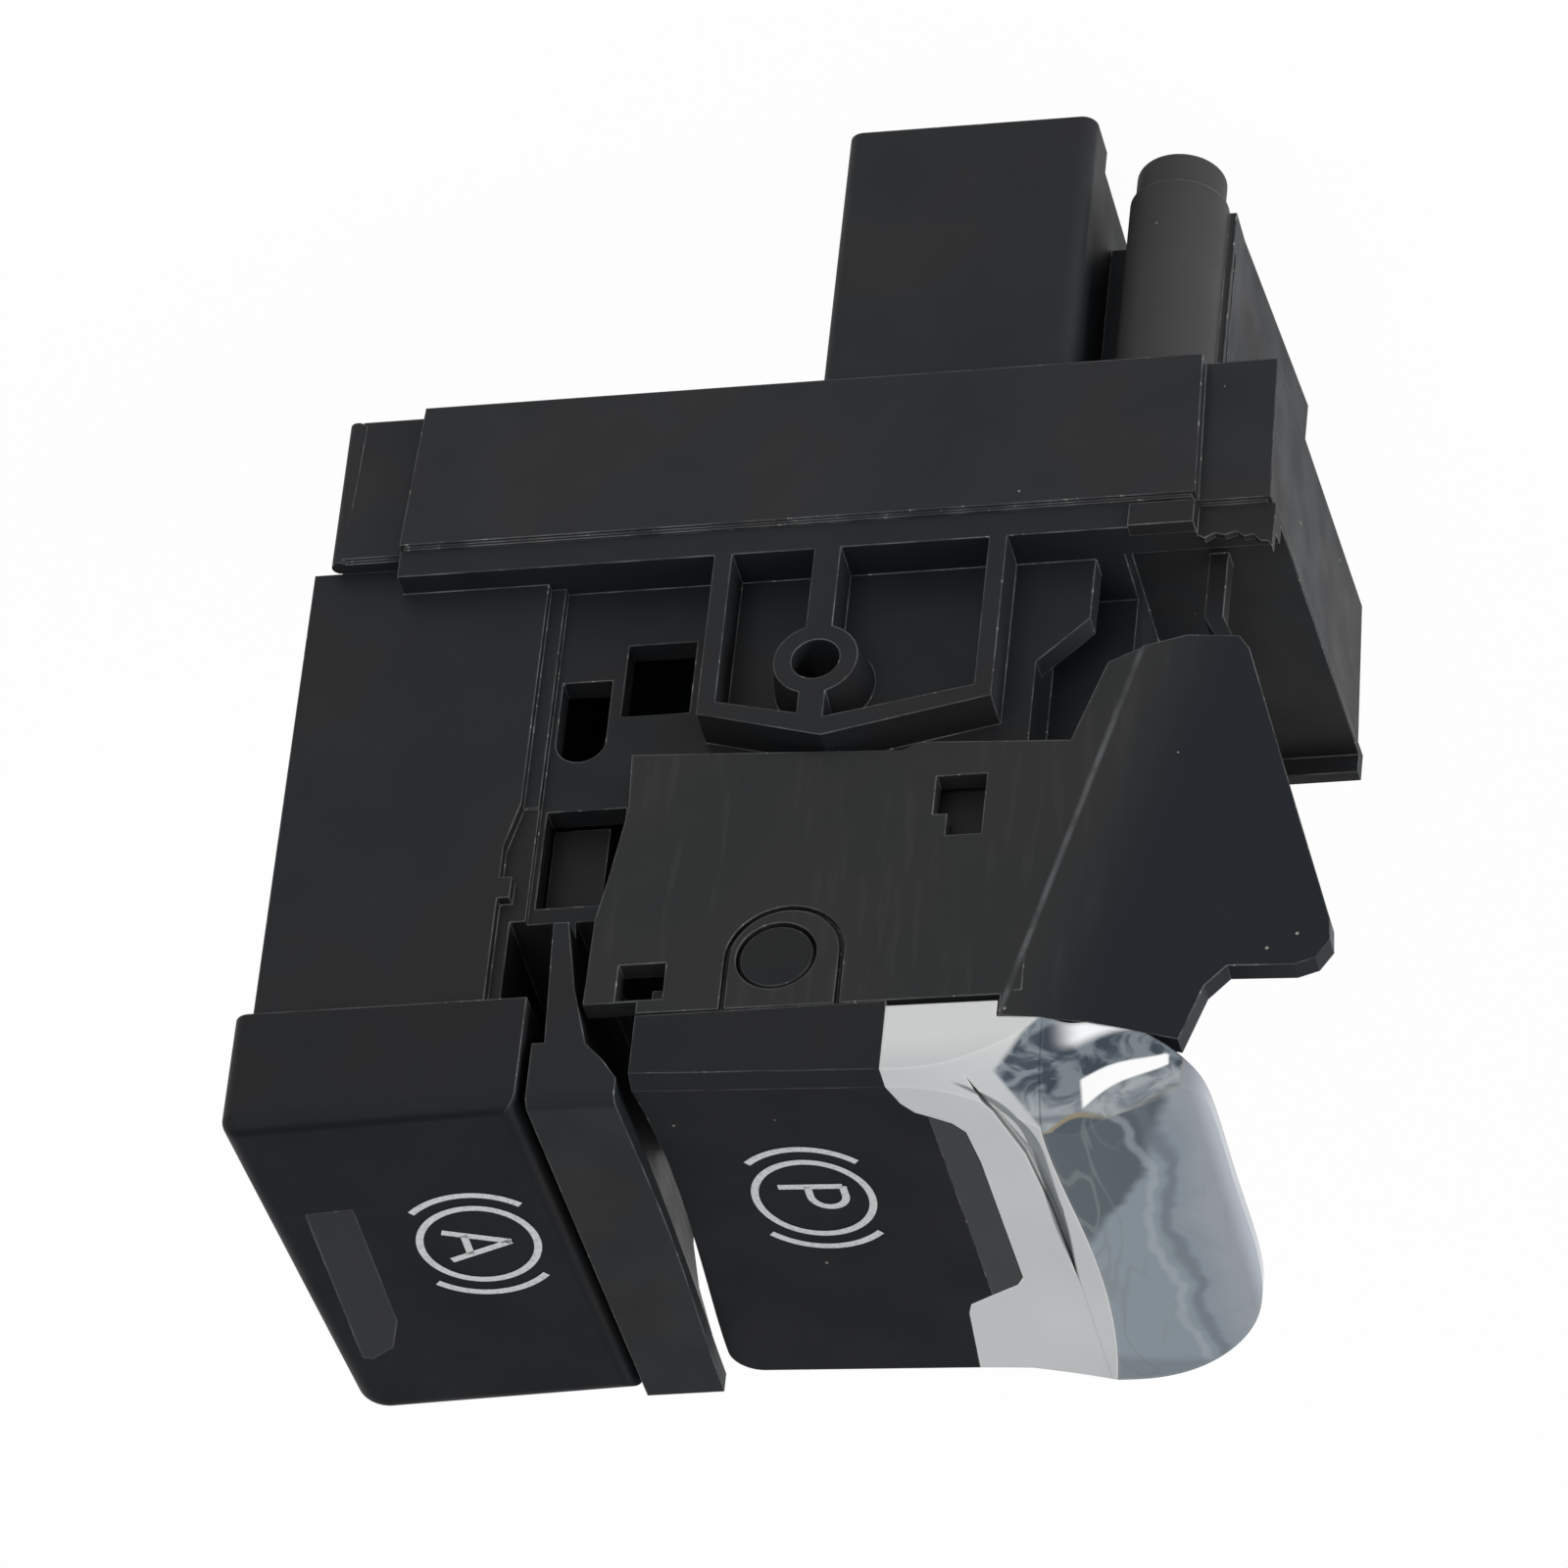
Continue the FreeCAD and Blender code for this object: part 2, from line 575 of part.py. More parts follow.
def chamber_plan(inset):
    """Chamber beside the socket, flaring slightly towards its back."""
    near_x = PEG_X - PEG_BOSS_R - CHAMBER_SIDE_GAP + inset
    inner_x = SHROUD_LEFT_X - SHROUD_WIDTH + SHROUD_WALL - inset
    front = CHAMBER_FRONT_Y + inset
    back = CHAMBER_BACK_Y - inset
    return [(near_x, front), (inner_x, front), (inner_x, back), (near_x - CHAMBER_FLARE, back)]


def chamber():
    """Hollow box beside the socket, joined to the peg's boss by a web."""
    z0 = COVER_BOTTOM_Z - CHAMBER_LENGTH
    top = COVER_BOTTOM_Z + WALL
    outer = prism_xy(chamber_plan(0), z0, top)
    corner = chamber_plan(0)[0]
    web = box(corner[0], PEG_X, PEG_Y + PEG_GROOVE, CHAMBER_FRONT_Y + WALL, z0, top)
    inner = prism_xy(chamber_plan(WALL), z0 + WALL, top)
    return joined(outer, web), inner


def locating_peg():
    boss_z = COVER_BOTTOM_Z - PEG_BOSS_LENGTH
    boss = rod_z(PEG_BOSS_R, PEG_X, PEG_Y, boss_z, COVER_BOTTOM_Z + WALL)
    peg = rod_z(PEG_R, PEG_X, PEG_Y, boss_z - PEG_LENGTH, boss_z)
    rim = edges_where(peg, lambda b: b.ZLength < 0.01 and b.ZMin < boss_z - PEG_LENGTH / 2)
    return boss, peg.makeFillet(PEG_RIM, rim)


def board_posts():
    """Posts that carry the board, just inside its four corners."""
    x0, x1, y0, y1 = board_plan()
    reach = 2 * POST_R
    spots = [(x, y) for x in (x0 + reach, x1 - reach) for y in (y0 + reach, y1 - reach)]
    top = BOARD_TOP_Z - BOARD_THICK
    return [rod_z(POST_R, x, y, COVER_BOTTOM_Z + WALL / 2, top) for x, y in spots]


def base_cover():
    chamber_outer, chamber_inner = chamber()
    boss, peg = locating_peg()
    body = joined(cover_box(), corner_ridge(), shroud(), chamber_outer, boss, *board_posts())
    web_x = chamber_plan(0)[0][0]
    groove_y = PEG_Y + 2 * PEG_GROOVE
    groove = box(web_x - 1, web_x + PEG_GROOVE / 2, groove_y, groove_y + PEG_GROOVE,
                 COVER_BOTTOM_Z - CHAMBER_LENGTH + PEG_GROOVE_START, COVER_BOTTOM_Z - WALL)
    body = body.cut(chamber_inner).cut(shroud_cavity()).cut(groove)
    body = joined(body, peg)
    return body.cut([pin_box(i, PIN_SIZE / 2 + FIT) for i in range(PIN_COLUMNS * PIN_ROWS)])


# Circuit board, pins and lamps


def board_plan():
    near = COVER_Y + COVER_END_BACK + WALL + BOARD_EDGE
    return (COVER_RIGHT_X + WALL + BOARD_EDGE, COVER_LEFT_X - WALL - BOARD_EDGE,
            near, COVER_BACK_Y - WALL - BOARD_EDGE)


def pin_box(index, half):
    """Square prism along one connector pin, of the given half width."""
    column = index % PIN_COLUMNS
    row = index // PIN_COLUMNS
    x = SHROUD_LEFT_X - SHROUD_WIDTH / 2 + (column - (PIN_COLUMNS - 1) / 2) * PIN_PITCH
    y = SHROUD_FRONT_Y + SHROUD_DEPTH / 2 + (row - (PIN_ROWS - 1) / 2) * PIN_PITCH
    low = COVER_BOTTOM_Z - PIN_IN_SHROUD
    high = BOARD_TOP_Z + PIN_ABOVE_BOARD
    return box(x - half, x + half, y - half, y + half, low, high)


def connector_pin(index):
    pin = pin_box(index, PIN_SIZE / 2)
    low = COVER_BOTTOM_Z - PIN_IN_SHROUD
    tip = edges_where(pin, lambda b: b.ZLength < 0.01 and b.ZMin < low + 0.01)
    return pin.makeChamfer(0.15, tip)


def circuit_board():
    x0, x1, y0, y1 = board_plan()
    board = box(x0, x1, y0, y1, BOARD_TOP_Z - BOARD_THICK, BOARD_TOP_Z)
    return board.cut([pin_box(i, PIN_SIZE / 2 + FIT) for i in range(PIN_COLUMNS * PIN_ROWS)])


def light_guide_plan(grow):
    return (28.6 - grow, 31.2 + grow, 12.0 - grow, 22.0 + grow)


def indicator_lamp(x, y):
    """Surface-mounted lamp: a low body with a round lens on top."""
    shoulder = BOARD_TOP_Z + LAMP_BODY
    body = box(x - LAMP_HALF, x + LAMP_HALF, y - LAMP_HALF_LONG, y + LAMP_HALF_LONG, BOARD_TOP_Z, shoulder)
    return joined(body, rod_z(LAMP_LENS_R, x, y, shoulder, shoulder + LAMP_LENS))


def auto_hold_light_guide():
    """Clear bar from its lamp to just under the button's indicator lens."""
    top = BUTTON_TOP_LEFT_Z - SKIN - LENS_THICK - BUTTON_TRAVEL - RUN
    bar = box(*light_guide_plan(0), BOARD_TOP_Z + 1.7, top)
    collar = box(*light_guide_plan(0.9), SHELF_Z, SHELF_Z + 1.2)
    return joined(bar, collar)


# Brake lever


def underside():
    """Lower edge of trim and grip, from the cap to the tip."""
    return [(TRIM_NEAR_X, SKIRT_Z + 0.4), (TRIM_STEP_X, SKIRT_Z + 0.5), (TRIM_STEP_X, 28.2),
            (-16.6, 28.5), (-19.3, 29.0), (-23.0, 30.1), (-25.4, 31.4), (GRIP_TIP_X - 1, 32.4)]


def brake_lever():
    """The moving carrier: side plate with its wing, deck, far arm and leg."""
    plate_back = LEVER_Y + LEVER_PLATE
    plate = prism_xz([
        (11.4, 5.95), (-5.9, 6.95), (-7.1, 6.4), (-16.6, 7.0), (-18.5, 1.0), (-20.6, 0.0),
        (-13.7, 28.0), (-13.7, SKIRT_Z), (CAP_LEFT_X, SKIRT_Z - 0.2), (CAP_LEFT_X, 25.4),
        (12.6, 25.4), (12.5, 18.9), (11.94, 15.6), (11.2, 10.3),
    ], LEVER_Y, plate_back)
    plate = joined(plate, wing())
    bar_z = SKIRT_Z - 0.25
    keep = PIVOT_EAR_R + 0.5
    flange_left = box(PIVOT_X + keep, CAP_LEFT_X - 0.5, LEVER_Y, LEVER_Y + LEVER_FLANGE,
                      LEVER_FLANGE_Z, bar_z)
    flange_right = box(FINGER_WALL_X, PIVOT_X - keep, LEVER_Y, LEVER_Y + LEVER_FLANGE,
                       LEVER_FLANGE_Z, bar_z)
    riser_y = LEVER_Y + SKIN + 0.1
    riser_left = box(PIVOT_X + keep, CAP_WAIST_X - SKIN - 0.2, riser_y, LEVER_Y + LEVER_FLANGE,
                     bar_z - 1, DECK_Z + DECK_THICK)
    riser_right = box(FINGER_WALL_X, PIVOT_X - keep, riser_y, LEVER_Y + LEVER_FLANGE,
                      bar_z - 1, DECK_Z + DECK_THICK)
    deck = box(FINGER_WALL_X, CAP_WAIST_X - SKIN - 0.2, riser_y, DECK_BACK_Y, DECK_Z, DECK_Z + DECK_THICK)
    finger_wall = box(FINGER_WALL_X, FINGER_WALL_X + SKIN, LEVER_Y + LEVER_FLANGE, BACK_Y - WALL - 1,
                      FINGER_WALL_Z, DECK_Z + DECK_THICK)
    body = joined(plate, flange_left, flange_right, riser_left, riser_right, deck, finger_wall,
                  far_arm(), leg(), grip_core())
    lug_edge = rod_y(LUG_R, PIVOT_X - 0.5, PIVOT_Z, LEVER_Y, LEVER_Y + LUG_RELIEF)
    lug_foot = box(PIVOT_X - 0.5 - LUG_R, PIVOT_X - 0.5 + LUG_R, LEVER_Y, LEVER_Y + LUG_RELIEF,
                   PIVOT_Z, SKIRT_Z)
    inset = 0.35
    lug_core = rod_y(LUG_R - inset, PIVOT_X - 0.5, PIVOT_Z, LEVER_Y, LEVER_Y + LUG_RELIEF)
    lug_core_foot = box(PIVOT_X - 0.5 - LUG_R + inset, PIVOT_X - 0.5 + LUG_R - inset, LEVER_Y,
                        LEVER_Y + LUG_RELIEF, PIVOT_Z, SKIRT_Z)
    groove = joined(lug_edge, lug_foot).cut(joined(lug_core, lug_core_foot))
    body = body.cut(groove).cut(lever_windows())
    bore = rod_y(PIVOT_R + PIVOT_RUN, PIVOT_X, PIVOT_Z, LEVER_Y - 1, BACK_Y + RUN + ARM_PLATE + 1)
    return body.cut(bore).cut(box(*brake_guide_plan(RUN / 3), DECK_Z - 1, DECK_Z + DECK_THICK + 1))


def wing():
    """Plate beside the finger room, folded slightly back from the side plate."""
    fold_low = V(-20.6, LEVER_Y, -0.1)
    fold_high = V(-13.7, LEVER_Y, 28.1)
    back = V(0, LEVER_PLATE, 0)
    outline = [(-23.3, -0.9), (-26.6, -0.75), (-27.3, 0.3), (-30.3, 10.4), (-33.6, 21.3),
               (-33.7, 22.9), (-32.9, 24.2), (-31.6, 24.7), (-27.5, 24.7), (-26.2, 26.2),
               (-24.9, 30.2), (-19.3, 28.8)]
    front = [fold_low]
    for x, z in outline:
        along = (z - fold_low.z) / (fold_high.z - fold_low.z)
        fold_x = fold_low.x + along * (fold_high.x - fold_low.x)
        front.append(V(x, LEVER_Y + WING_SET_BACK * (fold_x - x) / 18.0, z))
    front.append(fold_high)
    panels = [face_of([front[0], near, far]).extrude(back) for near, far in zip(front[1:], front[2:])]
    return joined(*panels)


def far_arm():
    """Second bearing of the lever, outside the housing's back wall."""
    y0 = BACK_Y + RUN
    y1 = y0 + ARM_PLATE
    head = rod_y(LUG_R, PIVOT_X, PIVOT_Z, y0, y1)
    neck = box(PIVOT_X - LUG_R, PIVOT_X + LUG_R, y0, y1, PIVOT_Z, DECK_Z + DECK_THICK)
    return head.fuse(neck)


def leg():
    """Drives the contact slider; its hub turns on the pivot pin."""
    y0 = LEG_NEAR_Y
    y1 = y0 + LEG_WIDTH
    half = LEG_THICK / 2
    tip_z = PIVOT_Z - LEG_LENGTH
    blade = box(PIVOT_X - half, PIVOT_X + half, y0, y1, tip_z, DECK_Z + DECK_THICK / 2)
    hub = rod_y(HUB_R, PIVOT_X, PIVOT_Z, y0, y1)
    tip = rod_y(LEG_TIP_R, PIVOT_X, tip_z, y0, y1)
    return joined(blade, hub, tip)


def grip_core():
    """Tongue of the carrier that fills the hollow of the grip."""
    return box(-22.5, FINGER_WALL_X + 1, 8.0, 26.0, 30.4, 31.6).fuse(
        box(FINGER_WALL_X, FINGER_WALL_X + SKIN, 8.0, 26.0, DECK_Z, 31.2))


def lever_windows():
    """L-shaped slot, and the small square window by the skirt's corner."""
    y0 = LEVER_Y - 1
    y1 = LEVER_Y + LEVER_PLATE + 0.4
    upright = box(-11.5, -9.2, y0, y1, 9.2, 13.9)
    foot = box(-9.3, -8.3, y0, y1, 9.2, 12.2)
    square = box(7.6, 10.6, y0, LEVER_Y + LEVER_PLATE + 0.1, 22.5, 25.3)
    return [upright.fuse(foot), square]


def lever_pivot_pin():
    pin = rod_y(PIVOT_R, PIVOT_X, PIVOT_Z, LEVER_Y + 0.1, BACK_Y + RUN + ARM_PLATE)
    ends = edges_where(pin, lambda b: b.YLength < 0.01 and b.XLength > 1)
    return pin.makeChamfer(0.25, ends)


def centering_spring():
    """Torsion coil round the pivot pin, with two legs that point down."""
    radius = PIVOT_R + 1.0
    length = COIL_PITCH * COIL_TURNS
    helix = Part.makeHelix(COIL_PITCH, length, radius)
    slope = COIL_PITCH / (math.tau * radius)
    profile = Part.Wire(Part.makeCircle(COIL_WIRE_R, V(radius, 0, 0), V(0, 1, slope)))
    coil = Part.Wire(helix.Edges).makePipeShell([profile], True, True)
    legs = [Part.makeCylinder(COIL_LEG_R, COIL_LEG, V(x, COIL_WIRE_R, z), V(0, -1, 0))
            for x, z in ((radius, 0), (-radius, length))]
    spring = coil.fuse(legs)
    spring.rotate(V(0, 0, 0), V(1, 0, 0), 90)
    spring.translate(V(PIVOT_X, PANEL_Y + WALL + COIL_GAP + length, PIVOT_Z))
    return spring


# Cap, lens, trim and grip: plan outlines cut from one lofted head


def head_section(station, inset):
    """Section across the head: a front face that leans back to a crease, and the upper face."""
    x, top, lean_height, lean_run = station
    crease_y = CAP_NEAR_Y + lean_run + inset / 2
    crease_z = top - inset
    near = CAP_NEAR_Y - HEAD_SPARE
    low = SKIRT_Z - LEAN_SPARE
    far = CAP_FAR_Y + HEAD_SPARE
    points = [V(x, near, low), V(x, near, crease_z - (crease_y - near) * lean_height / lean_run),
              V(x, crease_y, crease_z), V(x, far, crease_z), V(x, far, low)]
    return Part.makePolygon(points + [points[0]])


def head_form(inset):
    """The head's outer form, or the same form moved inwards."""
    return Part.makeLoft([head_section(station, inset) for station in HEAD_STATIONS], True)


def head_piece(plan):
    """The part of the head over one plan outline, down to the head's lower edge."""
    high = CROWN_Z + HEAD_SPARE
    low = SKIRT_Z - HEAD_SPARE
    left = CAP_LEFT_X + 1
    lower = [(left, SKIRT_Z), (TRIM_NEAR_X, SKIRT_Z)] + underside()
    side = prism_xz(lower + [(GRIP_TIP_X - 1, high), (left, high)], CAP_NEAR_Y - 1, CAP_FAR_Y + 2)
    return plan.extrude(V(0, 0, high - low)).common(side).common(head_form(0))


def head_room(x0, x1, y0, y1, skin):
    """Cutter for the hollow under the head."""
    return head_form(skin).common(box(x0, x1, y0, y1, SKIRT_Z - HEAD_SPARE, CROWN_Z))


def plan_face(corners, curve=()):
    """Plan outline: straight runs between the corners, then a smooth curve back to the first."""
    low = SKIRT_Z - HEAD_SPARE
    straight = [V(x, y, low) for x, y in corners]
    if not curve:
        return face_of(straight)
    bend = Part.BSplineCurve()
    bend.interpolate([straight[-1]] + [V(x, y, low) for x, y in curve] + [straight[0]])
    return Part.Face(Part.Wire([*Part.makePolygon(straight).Edges, bend.toShape()]))


def brake_button_cap():
    outline = [(CAP_LEFT_X, CAP_NEAR_Y), (TRIM_NEAR_X, CAP_NEAR_Y), *TRIM_NEAR_EDGE, *TRIM_FAR_EDGE,
               (CAP_LEFT_X - 0.2, CAP_FAR_Y)]
    waist = [(CAP_LEFT_X - 0.2, 27.0), (8.75, 21.7), (CAP_WAIST_X, 14.6), (8.5, 7.4)]
    cap = head_piece(plan_face(outline, waist))
    corner = edges_where(cap, lambda b: is_upright(b, 4) and b.YMin > CAP_FAR_Y - 1 and b.XMin > 5)
    cap = cap.makeFillet(CAP_CORNER_R, corner)
    return cap.cut(head_room(GRIP_TIP_X, CAP_WAIST_X - SKIN, CAP_NEAR_Y + SKIN, CAP_FAR_Y - SKIN, SKIN))


def brake_indicator_lens():
    lens = head_piece(plan_face([TRIM_NEAR_EDGE[-1], *LENS_EDGE, TRIM_FAR_EDGE[0]]))
    return lens.cut(head_room(GRIP_TIP_X, CAP_LEFT_X, CAP_NEAR_Y + SKIN, CAP_FAR_Y, LENS_THICK))


def groove():
    """Shallow tapering groove that follows the bend of the trim."""
    plan = prism_xy([*GROOVE_LINE, *[(x - w, y) for (x, y), w in zip(GROOVE_LINE[-2:0:-1], GROOVE_WIDTHS)]],
                    SKIRT_Z, CROWN_Z)
    return plan.cut(head_form(GROOVE_DEPTH))


def grip_trim():
    outline = [(TRIM_NEAR_X, CAP_NEAR_Y), *TRIM_NEAR_EDGE, *LENS_EDGE, *TRIM_FAR_EDGE,
               (-10.2, CAP_FAR_Y), GRIP_JOINT[-1]]
    start = GRIP_JOINT[0]
    trim = head_piece(plan_face([start, *outline], GRIP_JOINT[-2:0:-1]))
    room = head_room(GRIP_TIP_X, CAP_LEFT_X, CAP_NEAR_Y + SKIN, CAP_FAR_Y - SKIN, SKIN)
    return trim.cut(room).cut(groove())


def grip_chrome():
    """Polished grip, whose front leans back from the lower edge to a crease in the upper face."""
    bend = Part.BSplineCurve()
    low = SKIRT_Z - HEAD_SPARE
    bend.interpolate([V(x, y, low) for x, y in GRIP_JOINT])
    rim = Part.BSplineCurve()
    rim.interpolate([V(x, y, low) for x, y in (GRIP_JOINT[-1], *GRIP_RIM, GRIP_JOINT[0])])
    plan = Part.Face(Part.Wire([bend.toShape(), rim.toShape()]))
    return head_piece(plan).cut(head_room(-24.0, TRIM_STEP_X, 5.5, 27.6, GRIP_SKIN))


def brake_guide_plan(grow):
    return (-11.2 - grow, -9.4 + grow, 9.0 - grow, 19.0 + grow)


def brake_light_guide():
    """Clear blade that rides in the lever's deck, under the brake lens."""
    bar = box(*brake_guide_plan(0), BRAKE_GUIDE_LOW_Z, BRAKE_GUIDE_TOP_Z)
    collar = box(*brake_guide_plan(0.8), DECK_Z + DECK_THICK, DECK_Z + DECK_THICK + 1.0)
    return joined(bar, collar)


# Auto-hold button


def button_plan():
    return [(BUTTON_LEFT_X, BUTTON_NEAR_Y), (BUTTON_RIGHT_X + BUTTON_NARROWING, BUTTON_NEAR_Y),
            (BUTTON_RIGHT_X + 0.25, BUTTON_FAR_Y), (BUTTON_LEFT_X - 2.1, BUTTON_FAR_Y)]


def button_profile(drop):
    """Side outline of the button, its upper edge lowered by drop."""
    return [(BUTTON_LEFT_X, BUTTON_SKIRT_Z), (BUTTON_LEFT_X + 1, BUTTON_TOP_LEFT_Z - drop),
            (BUTTON_RIGHT_X - 1, BUTTON_TOP_RIGHT_Z - drop), (BUTTON_RIGHT_X + BUTTON_FLARE, BUTTON_SKIRT_Z)]


def auto_lens_plan():
    return [(31.6, 10.3), (28.6, 10.2), (28.6, 21.9), (29.5, 24.6), (31.0, 25.6), (31.6, 25.4)]


def auto_hold_button():
    solid = prism_xy(button_plan(), CUT_LOW_Z, CUT_HIGH_Z)
    solid = solid.common(prism_xz(button_profile(0), CUT_NEAR_Y, CUT_FAR_Y))
    far = edges_where(solid, lambda b: b.ZLength > 6 and b.YMin > BUTTON_FAR_Y - 1)
    solid = solid.makeFillet(BUTTON_FAR_R, far)
    near = edges_where(solid, lambda b: b.ZLength > 6 and b.YMax < BUTTON_NEAR_Y + 1 and b.XMin > 30)
    solid = solid.makeFillet(BUTTON_NEAR_R, near)
    crown_z = min(BUTTON_TOP_LEFT_Z, BUTTON_TOP_RIGHT_Z) - 0.6
    rim = edges_where(solid, lambda b: b.ZMin > crown_z)
    solid = solid.makeFillet(BUTTON_EDGE_R, rim)
    room = box(BUTTON_RIGHT_X + BUTTON_FLARE + SKIN, BUTTON_LEFT_X - 3.2, BUTTON_NEAR_Y + SKIN,
               BUTTON_FAR_Y - SKIN, CUT_LOW_Z, CUT_HIGH_Z)
    room = room.common(prism_xz(button_profile(SKIN), CUT_NEAR_Y, CUT_FAR_Y))
    relief = box(BUTTON_RIGHT_X + BUTTON_FLARE + LIP_RELIEF, BUTTON_LEFT_X - LIP_RELIEF,
                 BUTTON_NEAR_Y + LIP_RELIEF - 0.1, BUTTON_FAR_Y - LIP_RELIEF, CUT_LOW_Z,
                 BUTTON_SKIRT_Z + LIP_RELIEF_HEIGHT)
    lens = prism_xy(auto_lens_plan(), CUT_LOW_Z, CUT_HIGH_Z)
    seat = rod_z(SPRING_R + SPRING_WIRE_R + 0.4, PLUNGER_X, PLUNGER_Y, SPRING_TOP_Z, CUT_HIGH_Z)
    seat = seat.common(prism_xz(button_profile(SKIN / 2), CUT_NEAR_Y, CUT_FAR_Y))
    shell = solid.cut(room).cut(relief)
    shell = joined(shell, seat)
    socket = rod_z(PLUNGER_R + FIT, PLUNGER_X, PLUNGER_Y, CUT_LOW_Z, SPRING_TOP_Z + 2)
    return shell.cut(lens).cut(socket)


def auto_hold_lens():
    slab = prism_xz([
        (BUTTON_LEFT_X, BUTTON_TOP_LEFT_Z - LENS_THICK), (BUTTON_LEFT_X + 1, BUTTON_TOP_LEFT_Z),
        (BUTTON_RIGHT_X - 1, BUTTON_TOP_RIGHT_Z), (BUTTON_RIGHT_X, BUTTON_TOP_RIGHT_Z - LENS_THICK),
    ], CUT_NEAR_Y, CUT_FAR_Y)
    return prism_xy(auto_lens_plan(), CUT_LOW_Z, CUT_HIGH_Z).common(slab)


def auto_hold_plunger():
    """Rod from the button's socket down to the switch dome."""
    low = BOARD_TOP_Z + DOME_HEIGHT + DOME_GAP
    rod = rod_z(PLUNGER_R, PLUNGER_X, PLUNGER_Y, low, SPRING_TOP_Z + 2)
    foot = edges_where(rod, lambda b: b.ZLength < 0.01 and b.ZMin < low + 0.1)
    return rod.makeFillet(0.5, foot)


def auto_hold_spring():
    end_gap = SPRING_WIRE_R + FIT
    height = SPRING_TOP_Z - SHELF_Z - 2 * end_gap
    pitch = height / SPRING_TURNS
    helix = Part.makeHelix(pitch, height, SPRING_R)
    slope = pitch / (math.tau * SPRING_R)
    profile = Part.Wire(Part.makeCircle(SPRING_WIRE_R, V(SPRING_R, 0, 0), V(0, 1, slope)))
    coil = Part.Wire(helix.Edges).makePipeShell([profile], True, True)
    coil.translate(V(PLUNGER_X, PLUNGER_Y, SHELF_Z + end_gap))
    return coil


def switch_dome():
    """Rubber dome on the board that the plunger presses."""
    spot = V(PLUNGER_X, PLUNGER_Y, BOARD_TOP_Z)
    outer = Part.makeCone(DOME_R, DOME_TOP_R, DOME_HEIGHT, spot, UP)
    inner = Part.makeCone(DOME_R - DOME_SKIN, DOME_TOP_R - DOME_SKIN, DOME_HEIGHT - DOME_SKIN, spot, UP)
    foot = rod_z(DOME_R + DOME_FOOT, PLUNGER_X, PLUNGER_Y, BOARD_TOP_Z, BOARD_TOP_Z + DOME_SKIN)
    return joined(outer, foot).cut(inner)


# Contact slider and its guide


def slider_box():
    y_mid = LEG_NEAR_Y + LEG_WIDTH / 2
    z0 = BOARD_TOP_Z + SLIDER_LIFT
    return box(PIVOT_X - SLIDER_LENGTH / 2, PIVOT_X + SLIDER_LENGTH / 2, y_mid - SLIDER_WIDTH / 2,
               y_mid + SLIDER_WIDTH / 2, z0, z0 + SLIDER_HEIGHT)


def contact_slider():
    half = LEG_TIP_R + SLIDER_SLOT_SIDE
    y0 = LEG_NEAR_Y - SLIDER_SLOT_SIDE
    y1 = LEG_NEAR_Y + LEG_WIDTH + SLIDER_SLOT_SIDE
    floor_z = PIVOT_Z - LEG_LENGTH - LEG_TIP_R - SLIDER_SLOT_DEPTH
    return slider_box().cut(box(PIVOT_X - half, PIVOT_X + half, y0, y1, floor_z, SEAM_Z + SLIDER_HEIGHT))


def wiper_contacts():
    """Brass leaf under the slider, with two fingers that reach the board's tracks."""
    bounds = slider_box().BoundBox
    leaf = box(bounds.XMin + 1, bounds.XMax - 1, bounds.YMin + 1, bounds.YMax - 1,
               bounds.ZMin - WIPER_THICK, bounds.ZMin)
    slit = box(bounds.XMin + 2.2, bounds.XMax - 2.2, bounds.YMin + 1 + WIPER_WIDTH,
               bounds.YMax - 1 - WIPER_WIDTH, bounds.ZMin - 1, bounds.ZMin + 1)
    return leaf.cut(slit)


def slider_guide():
    """Two rails on the board that keep the slider in line."""
    bounds = slider_box().BoundBox
    x0 = PIVOT_X - RAIL_LENGTH / 2
    x1 = PIVOT_X + RAIL_LENGTH / 2
    near = bounds.YMin - 0.1
    far = bounds.YMax + 0.1
    rails = [
        box(x0, x1, near - RAIL_THICK, near, BOARD_TOP_Z, BOARD_TOP_Z + SLIDER_HEIGHT - 1),
        box(x0, x1, far, far + RAIL_THICK, BOARD_TOP_Z, BOARD_TOP_Z + SLIDER_HEIGHT - 1),
        box(x0, x0 + RAIL_THICK, near - RAIL_THICK, far + RAIL_THICK, BOARD_TOP_Z, BOARD_TOP_Z + 2),
        box(x1 - RAIL_THICK, x1, near - RAIL_THICK, far + RAIL_THICK, BOARD_TOP_Z, BOARD_TOP_Z + 2),
    ]
    return joined(*rails)


def all_pieces():
    pieces = {
        "housing": housing(),
        "base_cover": base_cover(),
        "circuit_board": circuit_board(),
        "lever_pivot_pin": lever_pivot_pin(),
        "slider_guide": slider_guide(),
        "switch_dome": switch_dome(),
        "auto_hold_light_guide": auto_hold_light_guide(),
        "auto_hold_lamp": indicator_lamp(*AUTO_LAMP),
        "brake_lamp": indicator_lamp(*BRAKE_LAMP),
        "brake_lever": brake_lever(),
        "brake_button_cap": brake_button_cap(),
        "brake_indicator_lens": brake_indicator_lens(),
        "grip_trim": grip_trim(),
        "grip_chrome": grip_chrome(),
        "brake_light_guide": brake_light_guide(),
        "centering_spring": centering_spring(),
        "contact_slider": contact_slider(),
        "wiper_contacts": wiper_contacts(),
        "auto_hold_button": auto_hold_button(),
        "auto_hold_lens": auto_hold_lens(),
        "auto_hold_plunger": auto_hold_plunger(),
        "auto_hold_spring": auto_hold_spring(),
    }
    for index in range(PIN_COLUMNS * PIN_ROWS):
        pieces[f"connector_pin_{index + 1:02d}"] = connector_pin(index)
    return pieces


